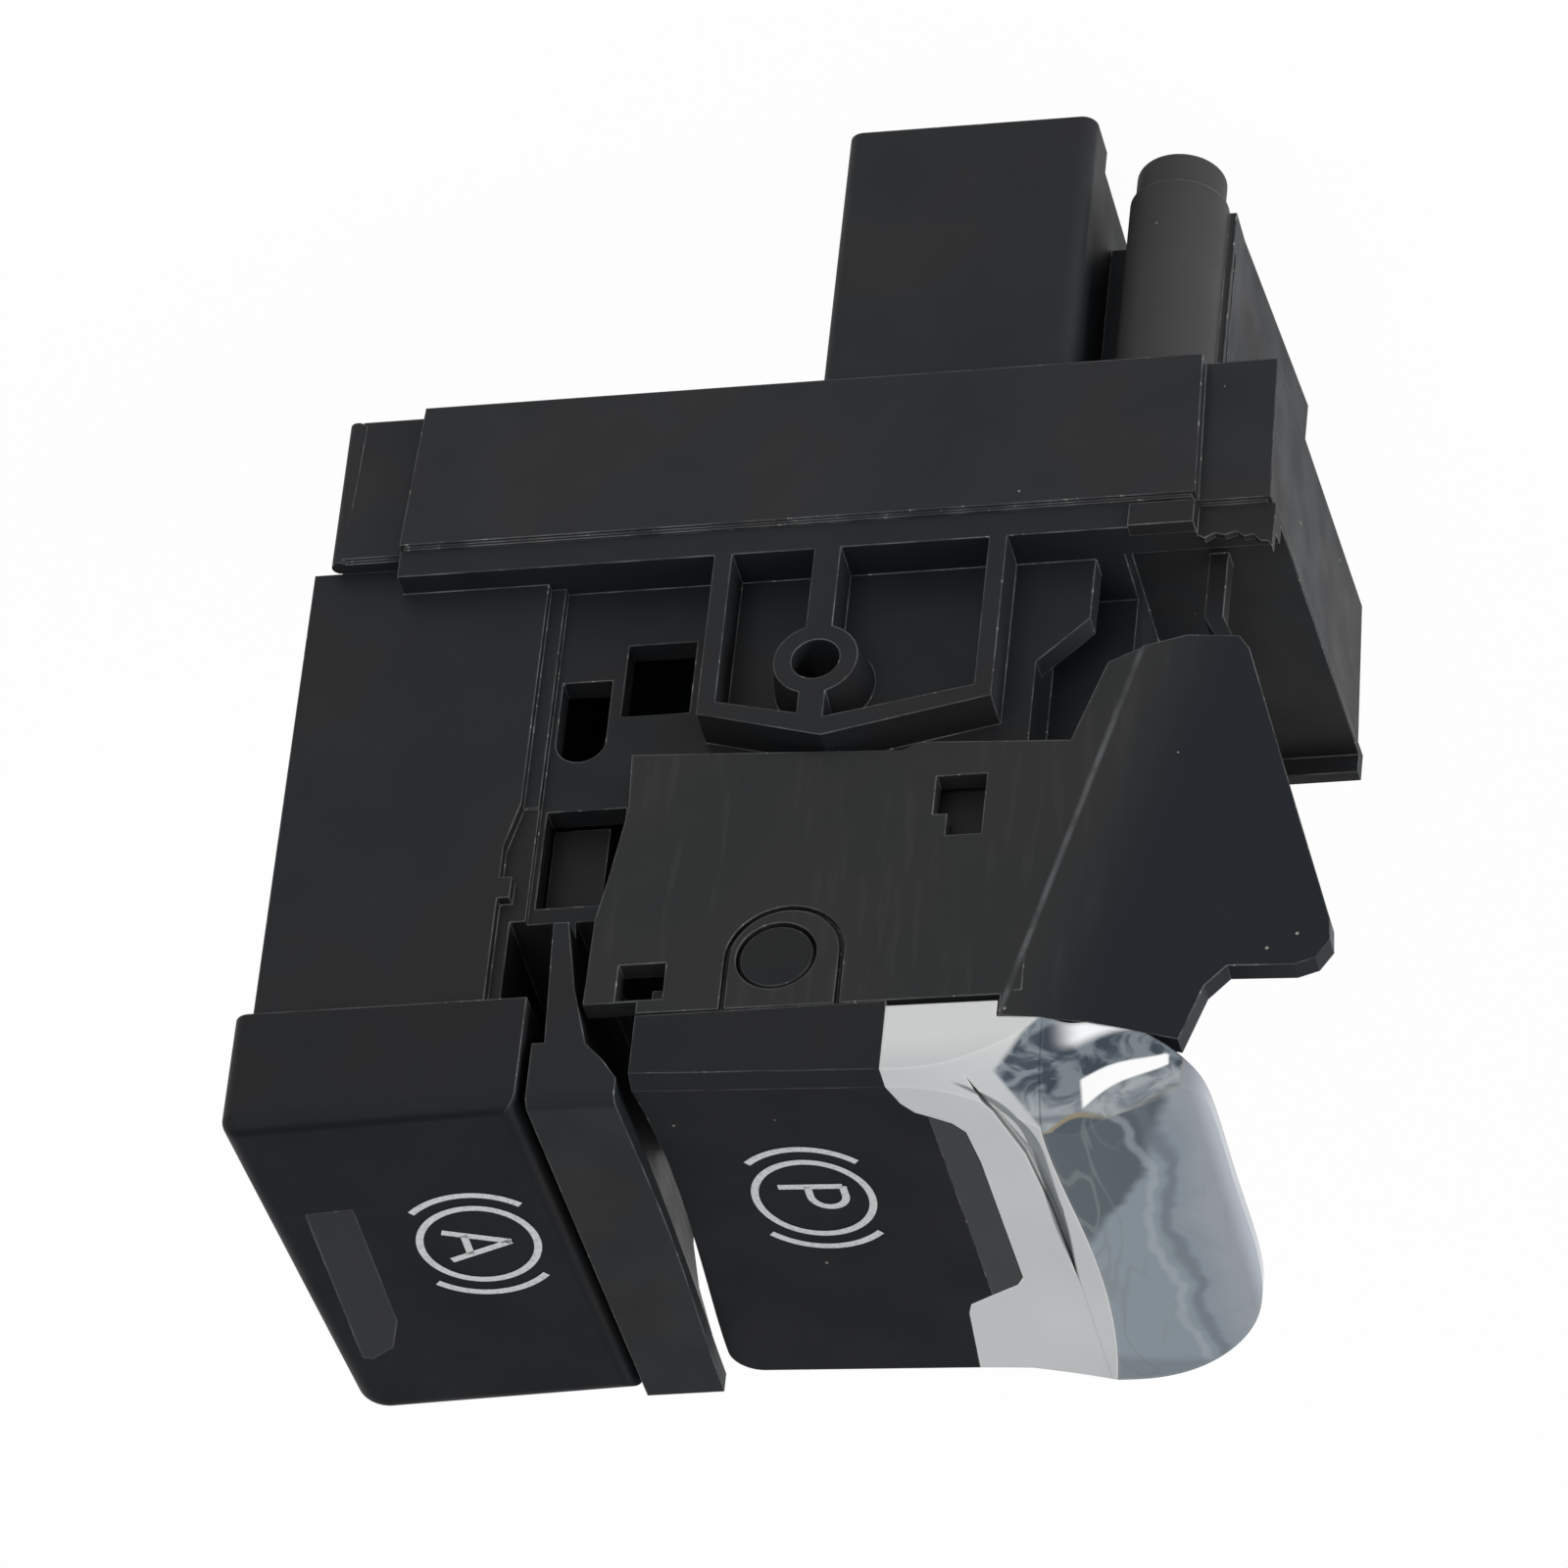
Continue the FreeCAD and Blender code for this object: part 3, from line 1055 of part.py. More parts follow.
os.makedirs("parts", exist_ok=True)
for name, shape in all_pieces().items():
    shape.exportStep(f"parts/{name}.step")
    bounds = shape.BoundBox
    print(f"{name:24s} solids {len(shape.Solids)} valid {shape.isValid()} volume {shape.Volume:9.2f}"
          f" x {bounds.XMin:6.2f} {bounds.XMax:6.2f} y {bounds.YMin:6.2f} {bounds.YMax:6.2f}"
          f" z {bounds.ZMin:6.2f} {bounds.ZMax:6.2f}")
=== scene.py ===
"""Looks of the electric parking brake switch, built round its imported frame.

Metres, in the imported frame: +Z up to the buttons, -Y out of the mounting face, -X towards the grip.
"""

import math

import bmesh
import bpy
from mathutils import Matrix, Vector


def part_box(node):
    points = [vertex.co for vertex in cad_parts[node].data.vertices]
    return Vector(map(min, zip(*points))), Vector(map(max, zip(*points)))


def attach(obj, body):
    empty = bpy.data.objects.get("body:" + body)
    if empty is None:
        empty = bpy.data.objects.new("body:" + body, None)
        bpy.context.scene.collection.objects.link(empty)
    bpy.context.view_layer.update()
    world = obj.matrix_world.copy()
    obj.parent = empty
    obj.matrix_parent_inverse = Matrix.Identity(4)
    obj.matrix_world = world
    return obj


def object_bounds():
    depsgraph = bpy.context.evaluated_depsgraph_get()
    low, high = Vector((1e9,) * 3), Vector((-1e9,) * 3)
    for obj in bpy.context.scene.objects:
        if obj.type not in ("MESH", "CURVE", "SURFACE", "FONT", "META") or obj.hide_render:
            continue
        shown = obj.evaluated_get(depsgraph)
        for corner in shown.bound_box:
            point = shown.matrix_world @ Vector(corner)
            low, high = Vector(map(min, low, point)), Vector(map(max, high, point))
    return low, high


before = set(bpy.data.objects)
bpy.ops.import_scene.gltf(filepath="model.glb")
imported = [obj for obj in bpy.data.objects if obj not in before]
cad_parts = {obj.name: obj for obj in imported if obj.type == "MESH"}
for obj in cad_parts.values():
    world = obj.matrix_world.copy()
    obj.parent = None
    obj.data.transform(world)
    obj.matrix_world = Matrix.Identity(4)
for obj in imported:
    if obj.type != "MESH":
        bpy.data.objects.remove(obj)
cad_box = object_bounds()

MM = 0.001

# Photograph: 1600 pixels square, seen from the mounting side and above, nearly upside down
PHOTO_SIZE = 1600
FOCAL_PIXELS = 14000.0
SENSOR_MM = 36.0
CAMERA_AZIMUTH = math.radians(-16.27)
CAMERA_ELEVATION = math.radians(37.77)
CAMERA_ROLL = math.radians(186.45)
CAMERA_DISTANCE = 853.66 * MM
ORIGIN_PIXEL = (832, 672)

# Symbols on the two buttons, in plan
SYMBOL_STROKE = 0.48 * MM
SYMBOL_LIFT = 0.03 * MM
SYMBOL_RING_R = 3.68 * MM
SYMBOL_ARC_R = 5.0 * MM
SYMBOL_ARC_HALF = math.radians(44)
LETTER_HEIGHT = 4.1 * MM
BRAKE_SYMBOL = Vector((-0.01, 12.94)) * MM
HOLD_SYMBOL = Vector((21.6, 14.65)) * MM

# Line of the fold between the lever's plate and its wing
FOLD_FOOT = -20.58 * MM
FOLD_LEAN = 6.9 / 28.2

# Axis of the locating peg in plan, and how far its painted highlight reaches
PEG_AXIS = (-19.1 * MM, 6.0 * MM)
PEG_REACH = (3.6 * MM, 3.35 * MM)
PEG_FROM_Z = (-23 * MM, -25 * MM)

# Waves that the grip mirrors on its top face, painted as reflections, and where its threads and
# crease line grow clearer
WAVE_SWING = 5 * MM
PALE_X = (-22.5 * MM, -25.5 * MM)
SHADE_EDGE_X = (-21.8 * MM, -20.8 * MM)
SHADE_START_Y = 8.5 * MM
SHADE_RUN_Y = 12 * MM
SHADE_END_Y = (24 * MM, 15 * MM)
DARK_WAVE_X = -22.4 * MM
PALE_WAVE_X = -21.1 * MM
FAR_RIM_Y = (28.8 * MM, 30 * MM)
OUTER_RIM_X = (-25.4 * MM, -26.6 * MM)
CLEARER_X = (-20.5 * MM, -18 * MM)

# The grip's crease in plan, and the dark facet and white flash painted as reflections in front of it
CREASE_START = (-16.33 * MM, 6.0 * MM)
CREASE_SLOPE = 0.43
CREASE_BLUR = 0.12 * MM
CREASE_LINE = (0.16 * MM, 0.05 * MM)
FLASH_LOW = 31.45 * MM
FLASH_SLOPE = 0.117
FLASH_TOP = 32.66 * MM + FLASH_SLOPE * 19.33 * MM
FLASH_INNER = (-18.4 * MM, -18.75 * MM)
FLASH_OUTER = (-24.55 * MM, -24.35 * MM)
FLASH_BLUR = 0.08 * MM
FACET_PALE_Z = (31.7 * MM, 32.7 * MM)
FACET_RIM_Z = (30.1 * MM, 29.5 * MM)
FACET_RIM_X = (-16.6 * MM, -19 * MM)

# Polished corner of the trim: its pointed tip in X and Z, the slopes beside it, its end in Y
POLISH_TIP_X = -13.37 * MM
POLISH_TIP_Z = 31.52 * MM
POLISH_SLOPE_BELOW = 0.912
POLISH_SLOPE_ABOVE = 1.31
POLISH_BLUR = (-0.1 * MM, 0.35 * MM)
POLISH_END_Y = (7.9 * MM, 7.3 * MM)

# Finger groove of the trim: it runs along Y, and its near end bends to +X by a cube of the distance
GROOVE_X = -15.08 * MM
GROOVE_BEND_Y = 8.66 * MM
GROOVE_BEND = 0.0134 / MM ** 2
GROOVE_NEAR_Y = 1.8 * MM
GROOVE_WIDE_Y = 9 * MM
GROOVE_NARROW_Y = 15 * MM
GROOVE_FAR_Y = 22.6 * MM
GROOVE_HALF = (0.12 * MM, 0.42 * MM)
GROOVE_BLUR = 0.06 * MM
GROOVE_FADE = 0.6 * MM

# Light
WORLD_STRENGTH = 0.55
FLOOR_WHITE = 0.97
FLOOR_HALF = 3.0
KEY = {"place": (-1.0, -0.25, 0.1), "aim": (0, 0, -0.01), "size": (0.5, 0.5), "watts": 14.0}
FILL = {"place": (0.2, -1.0, 0.5), "aim": (0, 0, 0.01), "size": (0.7, 0.7), "watts": 5.0}


# Materials


class Graph:
    """Short calls for wiring one material's nodes."""

    def __init__(self, name):
        self.material = bpy.data.materials.new(name)
        self.material.use_nodes = True
        self.tree = self.material.node_tree
        self.tree.nodes.clear()
        self.output = self.add("ShaderNodeOutputMaterial")
        self.place = self.add("ShaderNodeTexCoord").outputs["Object"]

    def add(self, kind, **settings):
        node = self.tree.nodes.new(kind)
        for key, value in settings.items():
            setattr(node, key, value)
        return node

    def link(self, source, target):
        self.tree.links.new(source, target)

    def feed(self, node, values):
        for key, value in values.items():
            if isinstance(value, bpy.types.NodeSocket):
                self.link(value, node.inputs[key])
            else:
                node.inputs[key].default_value = value
        return node

    def math(self, operation, *values):
        node = self.add("ShaderNodeMath", operation=operation)
        return self.feed(node, dict(enumerate(values))).outputs[0]

    def times(self, first, second):
        return self.math("MULTIPLY", first, second)

    def minus(self, first, second):
        return self.math("SUBTRACT", first, second)

    def apart(self, first, second):
        return self.math("ABSOLUTE", self.minus(first, second))

    def parts(self, vector=None):
        """X, Y and Z of a vector, or of the place on the object."""
        split = self.add("ShaderNodeSeparateXYZ")
        self.link(vector or self.place, split.inputs[0])
        return split.outputs["X"], split.outputs["Y"], split.outputs["Z"]

    def noise(self, size, detail=2.0, place=None, distortion=0.0):
        """Noise whose features are about size metres wide."""
        node = self.add("ShaderNodeTexNoise")
        self.feed(node, {"Vector": place or self.place, "Scale": 1 / size, "Detail": detail,
                         "Distortion": distortion})
        return node.outputs["Fac"]

    def stretched(self, scale):
        node = self.add("ShaderNodeMapping")
        self.feed(node, {"Vector": self.place, "Scale": scale})
        return node.outputs["Vector"]

    def ramp(self, value, low, high, low_out=0.0, high_out=1.0):
        node = self.add("ShaderNodeMapRange", interpolation_type="SMOOTHSTEP")
        self.feed(node, {"Value": value, "From Min": low, "From Max": high, "To Min": low_out,
                         "To Max": high_out})
        return node.outputs["Result"]

    def blend(self, share, first, second):
        node = self.add("ShaderNodeMix", data_type="RGBA")
        self.feed(node, {0: share, 6: first, 7: second})
        return node.outputs[2]

    def bump(self, height, depth, normal=None):
        node = self.add("ShaderNodeBump")
        self.feed(node, {"Height": height, "Distance": depth, "Strength": 1.0})
        if normal:
            self.link(normal, node.inputs["Normal"])
        return node.outputs["Normal"]

    def surface(self, **values):
        shader = self.add("ShaderNodeBsdfPrincipled")
        self.feed(shader, {key.replace("_", " "): value for key, value in values.items()})
        self.link(shader.outputs[0], self.output.inputs["Surface"])
        return self.material


def srgb(red, green, blue):
    """Colour written as 0 to 255, made linear."""
    values = [c / 255 for c in (red, green, blue)]
    linear = [c / 12.92 if c <= 0.04045 else ((c + 0.055) / 1.055) ** 2.4 for c in values]
    return (*linear, 1.0)


def soft_edge(graph, radius):
    """Rounded normal at edges, and a mask that is 1 on them."""
    bevel = graph.add("ShaderNodeBevel", samples=6)
    bevel.inputs["Radius"].default_value = radius
    dot = graph.add("ShaderNodeVectorMath", operation="DOT_PRODUCT")
    graph.link(bevel.outputs["Normal"], dot.inputs[0])
    graph.link(graph.add("ShaderNodeNewGeometry").outputs["Normal"], dot.inputs[1])
    return bevel.outputs["Normal"], graph.ramp(dot.outputs["Value"], 0.995, 0.85)


def dust(graph, cell, share):
    """Mask of tiny pale specks, one in a share of the cells."""
    voronoi = graph.add("ShaderNodeTexVoronoi")
    graph.feed(voronoi, {"Vector": graph.place, "Scale": 1 / cell})
    near = graph.math("LESS_THAN", voronoi.outputs["Distance"], 0.035)
    colour = graph.add("ShaderNodeSeparateColor")
    graph.link(voronoi.outputs["Color"], colour.inputs[0])
    return graph.times(near, graph.math("LESS_THAN", colour.outputs[0], share))


def moulded_plastic(name, colour, cool, roughness, shades=None,
                    grain=0.12 * MM, specks=0.4, shine=0.12):
    """Black moulding: clouded tone, fine texture, edges painted paler as a highlight with pale flecks
    on them, and a little dust.
    """
    graph = Graph(name)
    normal, edge = soft_edge(graph, 0.16 * MM)
    cloud = graph.ramp(graph.noise(14 * MM, 3.0), 0.35, 0.65)
    tone = graph.blend(cloud, srgb(*colour), srgb(*cool))
    if shades:
        tone = shades(graph, tone)
    # Painted highlight: edges paler, in patches set by noise, with pale flecks along them
    edge_highlight_share = graph.ramp(graph.noise(2.5 * MM, 3.0), 0.3, 0.7, 0.2, 1.0)
    tone = graph.blend(graph.times(edge, edge_highlight_share), tone, srgb(108, 109, 110))
    fleck = graph.times(edge, graph.ramp(graph.noise(0.55 * MM, 2.0), 0.64, 0.7))
    tone = graph.blend(graph.times(fleck, 0.8), tone, srgb(164, 163, 158))
    tone = graph.blend(graph.times(dust(graph, 3.2 * MM, specks), 0.6), tone, srgb(150, 148, 140))
    shade = graph.ramp(graph.noise(5 * MM), 0.3, 0.7, roughness - 0.05, roughness + 0.07)
    height = graph.noise(grain, 3.0)
    return graph.surface(Base_Color=tone, Roughness=shade, Specular_IOR_Level=shine,
                         Normal=graph.bump(height, 0.006 * MM, normal))


def button_shades(graph, tone):
    """Painted shade: darker where the surface faces up."""
    _, _, up = graph.parts(graph.add("ShaderNodeNewGeometry").outputs["Normal"])
    return graph.blend(graph.ramp(up, 0.75, 0.97), tone, srgb(15, 17, 21))


def lever_shades(graph, tone):
    """Faint streaks, a darker wing as painted shade, and a painted highlight along its fold."""
    streaks = graph.noise(1.6 * MM, 2.0, graph.stretched((2.2, 2.2, 0.25)))
    tone = graph.blend(graph.ramp(streaks, 0.5, 0.8, 0.0, 0.07), tone, srgb(92, 90, 88))
    x, _, z = graph.parts()
    past = graph.minus(graph.minus(x, graph.times(z, FOLD_LEAN)), FOLD_FOOT)
    # Painted shade: darker on the wing past the fold
    tone = graph.blend(graph.ramp(past, 0.0, -6 * MM), tone, srgb(20, 24, 29))
    # Painted highlight: a paler line along the fold, broken up by noise
    line = graph.ramp(graph.math("ABSOLUTE", past), 0.3 * MM, 0.04 * MM)
    line = graph.times(line, graph.ramp(graph.noise(3 * MM, 3.0), 0.35, 0.65, 0.15, 0.6))
    return graph.blend(line, tone, srgb(88, 90, 92))


def boss_highlight(graph, tone):
    """Painted highlight: the locating peg and its boss are paler than the rest of the cover."""
    x, y, z = graph.parts()
    squares = [graph.math("POWER", graph.minus(place, middle), 2.0)
               for place, middle in zip((x, y), PEG_AXIS)]
    reach = graph.math("SQRT", graph.math("ADD", *squares))
    near = graph.times(graph.ramp(reach, *PEG_REACH), graph.ramp(z, *PEG_FROM_Z))
    return graph.blend(near, tone, srgb(52, 52, 53))


def painted_reflection(graph):
    """Painted reflections of the polished grip: waves on top, a facet in front of the crease, a pale
    outer rim.
    """
    x, y, z = graph.parts()
    run = graph.times(graph.minus(x, CREASE_START[0]), CREASE_SLOPE)
    behind = graph.minus(graph.minus(y, run), CREASE_START[1])
    front = graph.ramp(behind, CREASE_BLUR, -CREASE_BLUR)
    tone = graph.blend(front, top_tone(graph, x, y), facet_tone(graph, x, z))
    warm = graph.ramp(graph.math("ABSOLUTE", behind), *CREASE_LINE)
    warm = graph.times(warm, graph.ramp(x, *CLEARER_X, 0.2, 0.9))
    tone = graph.blend(warm, tone, srgb(146, 136, 112))
    return graph.blend(graph.ramp(x, *OUTER_RIM_X, 0.0, 0.8), tone, srgb(186, 192, 202))


def top_tone(graph, x, y):
    """Painted reflections on the top face: pale outside, shaded near the trim, with two waves and
    thin threads.
    """
    bend = graph.noise(7 * MM, 3.0, graph.stretched((0.7, 1.1, 1.0)), 0.3)
    bent = graph.math("ADD", x, graph.times(graph.minus(bend, 0.5), WAVE_SWING))
    tone = graph.blend(graph.ramp(bent, *PALE_X), srgb(128, 138, 146), srgb(144, 149, 156))
    slant = graph.times(graph.math("MINIMUM", graph.minus(y, SHADE_START_Y), SHADE_RUN_Y), 0.5)
    inner = graph.ramp(graph.minus(bent, slant), *SHADE_EDGE_X)
    inner = graph.times(inner, graph.ramp(y, *SHADE_END_Y))
    tone = graph.blend(inner, tone, srgb(84, 92, 99))
    wave = graph.ramp(graph.apart(bent, DARK_WAVE_X), 0.7 * MM, 0.1 * MM, 0.0, 0.65)
    tone = graph.blend(wave, tone, srgb(98, 106, 115))
    twin = graph.ramp(graph.apart(bent, PALE_WAVE_X), 0.5 * MM, 0.1 * MM, 0.0, 0.45)
    tone = graph.blend(twin, tone, srgb(158, 166, 172))
    thread = graph.noise(2.6 * MM, 1.5, graph.stretched((1.0, 0.3, 1.0)), 0.8)
    thread = graph.ramp(graph.apart(thread, 0.5), 0.045, 0.01)
    thread = graph.times(thread, graph.ramp(x, *CLEARER_X, 0.1, 0.55))
    tone = graph.blend(thread, tone, srgb(118, 126, 127))
    return graph.blend(graph.ramp(y, *FAR_RIM_Y, 0.0, 0.5), tone, srgb(96, 104, 112))


def facet_tone(graph, x, z):
    """Painted reflections on the near facet: dark ripples inward, a pale near edge, and the white
    flash.
    """
    ripple = graph.noise(1.9 * MM, 4.0, graph.stretched((0.7, 1.0, 1.6)), 1.2)
    dark = graph.blend(graph.ramp(ripple, 0.4, 0.58), srgb(66, 74, 84), srgb(122, 131, 138))
    pale = graph.blend(graph.ramp(ripple, 0.35, 0.65), srgb(118, 125, 132), srgb(160, 166, 170))
    tone = graph.blend(graph.ramp(z, *FACET_PALE_Z), dark, pale)
    rim = graph.times(graph.ramp(z, *FACET_RIM_Z), graph.ramp(x, *FACET_RIM_X))
    tone = graph.blend(rim, tone, srgb(246, 247, 248))
    top = graph.math("MULTIPLY_ADD", x, FLASH_SLOPE, FLASH_TOP)
    flash = graph.times(graph.ramp(z, FLASH_LOW - FLASH_BLUR, FLASH_LOW + FLASH_BLUR),
                        graph.ramp(graph.minus(top, z), -FLASH_BLUR, FLASH_BLUR))
    for ends in (FLASH_INNER, FLASH_OUTER):
        flash = graph.times(flash, graph.ramp(x, *ends))
    return graph.blend(flash, tone, srgb(252, 252, 252))


def groove_mask(graph, x, y):
    """1 in the trim's finger groove, which is widest in its middle."""
    reach = graph.math("MAXIMUM", graph.minus(GROOVE_BEND_Y, y), 0.0)
    curve = graph.times(graph.math("POWER", reach, 3.0), GROOVE_BEND)
    aside = graph.apart(graph.minus(x, GROOVE_X), curve)
    width = graph.times(graph.ramp(y, GROOVE_NEAR_Y, GROOVE_WIDE_Y, *GROOVE_HALF),
                        graph.ramp(y, GROOVE_FAR_Y, GROOVE_NARROW_Y))
    return graph.times(graph.ramp(graph.minus(width, aside), -GROOVE_BLUR, GROOVE_BLUR),
                       graph.ramp(y, GROOVE_NEAR_Y, GROOVE_NEAR_Y + GROOVE_FADE))


def polish_mask(graph, x, y, z):
    """1 on the trim's polished corner."""
    below = graph.math("MAXIMUM", graph.minus(POLISH_TIP_Z, z), 0.0)
    above = graph.math("MAXIMUM", graph.minus(z, POLISH_TIP_Z), 0.0)
    past = graph.minus(POLISH_TIP_X, graph.math("MULTIPLY_ADD", below, POLISH_SLOPE_BELOW, x))
    past = graph.minus(past, graph.times(above, POLISH_SLOPE_ABOVE))
    return graph.times(graph.ramp(past, *POLISH_BLUR), graph.ramp(y, *POLISH_END_Y))


def satin_metal():
    """Satin plating of the trim: painted light paler lower down and on its edges, painted shade in
    its groove, and painted reflections on its polished outer corner.
    """
    graph = Graph("satin_metal")
    normal, edge = soft_edge(graph, 0.25 * MM)
    x, y, z = graph.parts()
    tone = graph.blend(graph.noise(9 * MM), srgb(178, 181, 183), srgb(194, 196, 198))
    # Painted light: paler towards the lower edge
    tone = graph.blend(graph.ramp(z, 32.4 * MM, 29 * MM, 0.0, 0.8), tone, srgb(206, 208, 206))
    # Painted highlight on the edges
    tone = graph.blend(graph.times(edge, 0.7), tone, srgb(232, 232, 228))
    # Painted shade in the finger groove
    tone = graph.blend(groove_mask(graph, x, y), tone, srgb(122, 127, 127))
    # Polished corner: less rough, and coloured with painted reflections
    polish = polish_mask(graph, x, y, z)
    tone = graph.blend(polish, tone, painted_reflection(graph))
    dull = graph.minus(0.42, graph.times(polish, 0.22))
    return graph.surface(Base_Color=tone, Metallic=0.8, Roughness=dull,
                         Normal=graph.bump(graph.noise(0.08 * MM), 0.003 * MM, normal))


def bright_metal():
    """Polished plating of the grip, very slightly rippled, its colour painted reflections with a
    painted edge highlight.
    """
    graph = Graph("bright_metal")
    normal, edge = soft_edge(graph, 0.4 * MM)
    tone = graph.blend(graph.times(edge, 0.12), painted_reflection(graph), srgb(190, 196, 202))
    return graph.surface(Base_Color=tone, Metallic=1.0, Roughness=0.16,
                         Normal=graph.bump(graph.noise(5 * MM, 1.0), 0.03 * MM, normal))


def smoked_lens(name, colour, rim):
    """Dark indicator window with a rim tone painted on its edges: darker as painted shade at a gap,
    paler as a painted highlight.
    """
    graph = Graph(name)
    normal, edge = soft_edge(graph, 0.15 * MM)
    cloud = graph.noise(6 * MM, 1.0)
    tone = graph.blend(cloud, srgb(*colour), srgb(*[c + 6 for c in colour]))
    tone = graph.blend(graph.times(edge, 0.7), tone, srgb(*rim))
    return graph.surface(Base_Color=tone, Roughness=0.32, Specular_IOR_Level=0.15, Normal=normal)


def printed_white():
    """Pad-printed white, slightly thin in places."""
    graph = Graph("printed_white")
    cover = graph.ramp(graph.noise(0.25 * MM, 3.0), 0.25, 0.6)
    tone = graph.blend(cover, srgb(176, 178, 180), srgb(204, 206, 207))
    return graph.surface(Base_Color=tone, Roughness=0.5, Specular_IOR_Level=0.3)


def plain_finish(name, colour, other, size, roughness, metallic=0.0):
    """Two-tone finish for the small hidden pieces."""
    graph = Graph(name)
    normal, _ = soft_edge(graph, 0.1 * MM)
    tone = graph.blend(graph.noise(size, 3.0), srgb(*colour), srgb(*other))
    shade = graph.ramp(graph.noise(size * 0.6), 0.3, 0.7, roughness - 0.05, roughness + 0.05)
    return graph.surface(Base_Color=tone, Roughness=shade, Metallic=metallic,
                         Normal=graph.bump(graph.noise(0.2 * MM), 0.004 * MM, normal))


def dress_nodes():
    """Give each CAD node its material."""
    black = moulded_plastic("housing_plastic", (30, 30, 31), (26, 30, 33), 0.5)
    cover = moulded_plastic("cover_plastic", (36, 36, 37), (31, 34, 37), 0.55, boss_highlight)
    plate = moulded_plastic("lever_plastic", (36, 36, 36), (32, 34, 35), 0.42, lever_shades,
                            specks=0.7)
    button = moulded_plastic("button_plastic", (31, 31, 32), (27, 30, 33), 0.45, button_shades,
                             grain=0.09 * MM, shine=0.07)
    finishes = {
        "housing": black,
        "base_cover": cover,
        "brake_lever": plate,
        "brake_button_cap": button,
        "auto_hold_button": button,
        # Lens rims: painted shade at the brake lens's gap, painted highlight on the hold lens's edges
        "brake_indicator_lens": smoked_lens("brake_lens", (44, 46, 49), (22, 23, 25)),
        "auto_hold_lens": smoked_lens("hold_lens", (20, 22, 25), (64, 65, 67)),
        "grip_trim": satin_metal(),
        "grip_chrome": bright_metal(),
        "lever_pivot_pin": moulded_plastic("pin_black", (24, 25, 26), (20, 22, 25), 0.4),
        "circuit_board": plain_finish("board", (14, 34, 24), (18, 44, 30), 3 * MM, 0.35),
        "switch_dome": plain_finish("dome_rubber", (62, 62, 64), (74, 74, 76), 2 * MM, 0.7),
    }
    steel = plain_finish("spring_steel", (150, 152, 154), (176, 178, 180), 2 * MM, 0.3, 1.0)
    brass = plain_finish("contact_metal", (196, 166, 96), (214, 186, 118), 2 * MM, 0.28, 1.0)
    natural = plain_finish("natural_plastic", (206, 200, 184), (220, 214, 200), 4 * MM, 0.45)
    clear = plain_finish("guide_plastic", (214, 220, 224), (228, 232, 235), 4 * MM, 0.12)
    lamp = plain_finish("lamp_body", (226, 222, 204), (238, 235, 220), 1 * MM, 0.3)
    pins = [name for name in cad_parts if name.startswith("connector_pin")]
    shared = {
        steel: ("centering_spring", "auto_hold_spring"),
        brass: ("wiper_contacts", *pins),
        natural: ("contact_slider", "slider_guide", "auto_hold_plunger"),
        clear: ("brake_light_guide", "auto_hold_light_guide"),
        lamp: ("brake_lamp", "auto_hold_lamp"),
    }
    for finish, names in shared.items():
        finishes.update({name: finish for name in names})
    for name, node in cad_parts.items():
        node.data.materials.clear()
        node.data.materials.append(finishes[name])


# Symbols


def mesh_piece(name, bm, material, body):
    """Object of a finished mesh, riding on a body."""
    mesh = bpy.data.meshes.new(name)
    bm.to_mesh(mesh)
    bm.free()
    piece = bpy.data.objects.new(name, mesh)
    bpy.context.scene.collection.objects.link(piece)
    mesh.materials.append(material)
    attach(piece, body)


def stroke(bm, points, closed=False):
    """Flat band of even width along a line of 2-D points."""
    rows = []
    count = len(points)
    for i, point in enumerate(points):
        before = points[i - 1] if closed or i else point
        after = points[(i + 1) % count] if closed or i < count - 1 else point
        run = (after - before).normalized()
        side = Vector((-run.y, run.x)) * SYMBOL_STROKE / 2
        rows.append([bm.verts.new((*(point + side), 0)), bm.verts.new((*(point - side), 0))])
    pairs = list(zip(rows, rows[1:]))
    if closed:
        pairs.append((rows[-1], rows[0]))
    for (a, b), (c, d) in pairs:
        bm.faces.new((a, b, d, c))


def arc_points(centre, radius, start, end, steps):
    angles = [start + (end - start) * i / steps for i in range(steps + 1)]
    return [centre + radius * Vector((math.cos(a), math.sin(a))) for a in angles]


def line_points(first, last, steps=12):
    return [first.lerp(last, i / steps) for i in range(steps + 1)]


def letter_a(bm, centre):
    """Capital A whose top points to -X."""
    half = LETTER_HEIGHT / 2
    top = centre + Vector((-half, 0))
    spread = 1.45 * MM
    for side in (-1, 1):
        stroke(bm, line_points(top, centre + Vector((half, side * spread))))
    bar = 0.32 * LETTER_HEIGHT
    reach = spread * (1 - bar / LETTER_HEIGHT)
    stroke(bm, line_points(*[centre + Vector((half - bar, side * reach)) for side in (-1, 1)]))


def letter_p(bm, centre):
    """Capital P whose top points to -X."""
    half = LETTER_HEIGHT / 2
    stem = -1.15 * MM
    bowl_r = 1.12 * MM
    turn = 0.95 * MM
    top = centre + Vector((-half, stem))
    stroke(bm, line_points(top, centre + Vector((half, stem))))
    bowl_centre = centre + Vector((-half + bowl_r, stem + turn))
    bowl = arc_points(bowl_centre, bowl_r, math.pi, 0, 24)
    stroke(bm, [top, *bowl, centre + Vector((-half + 2 * bowl_r, stem))])


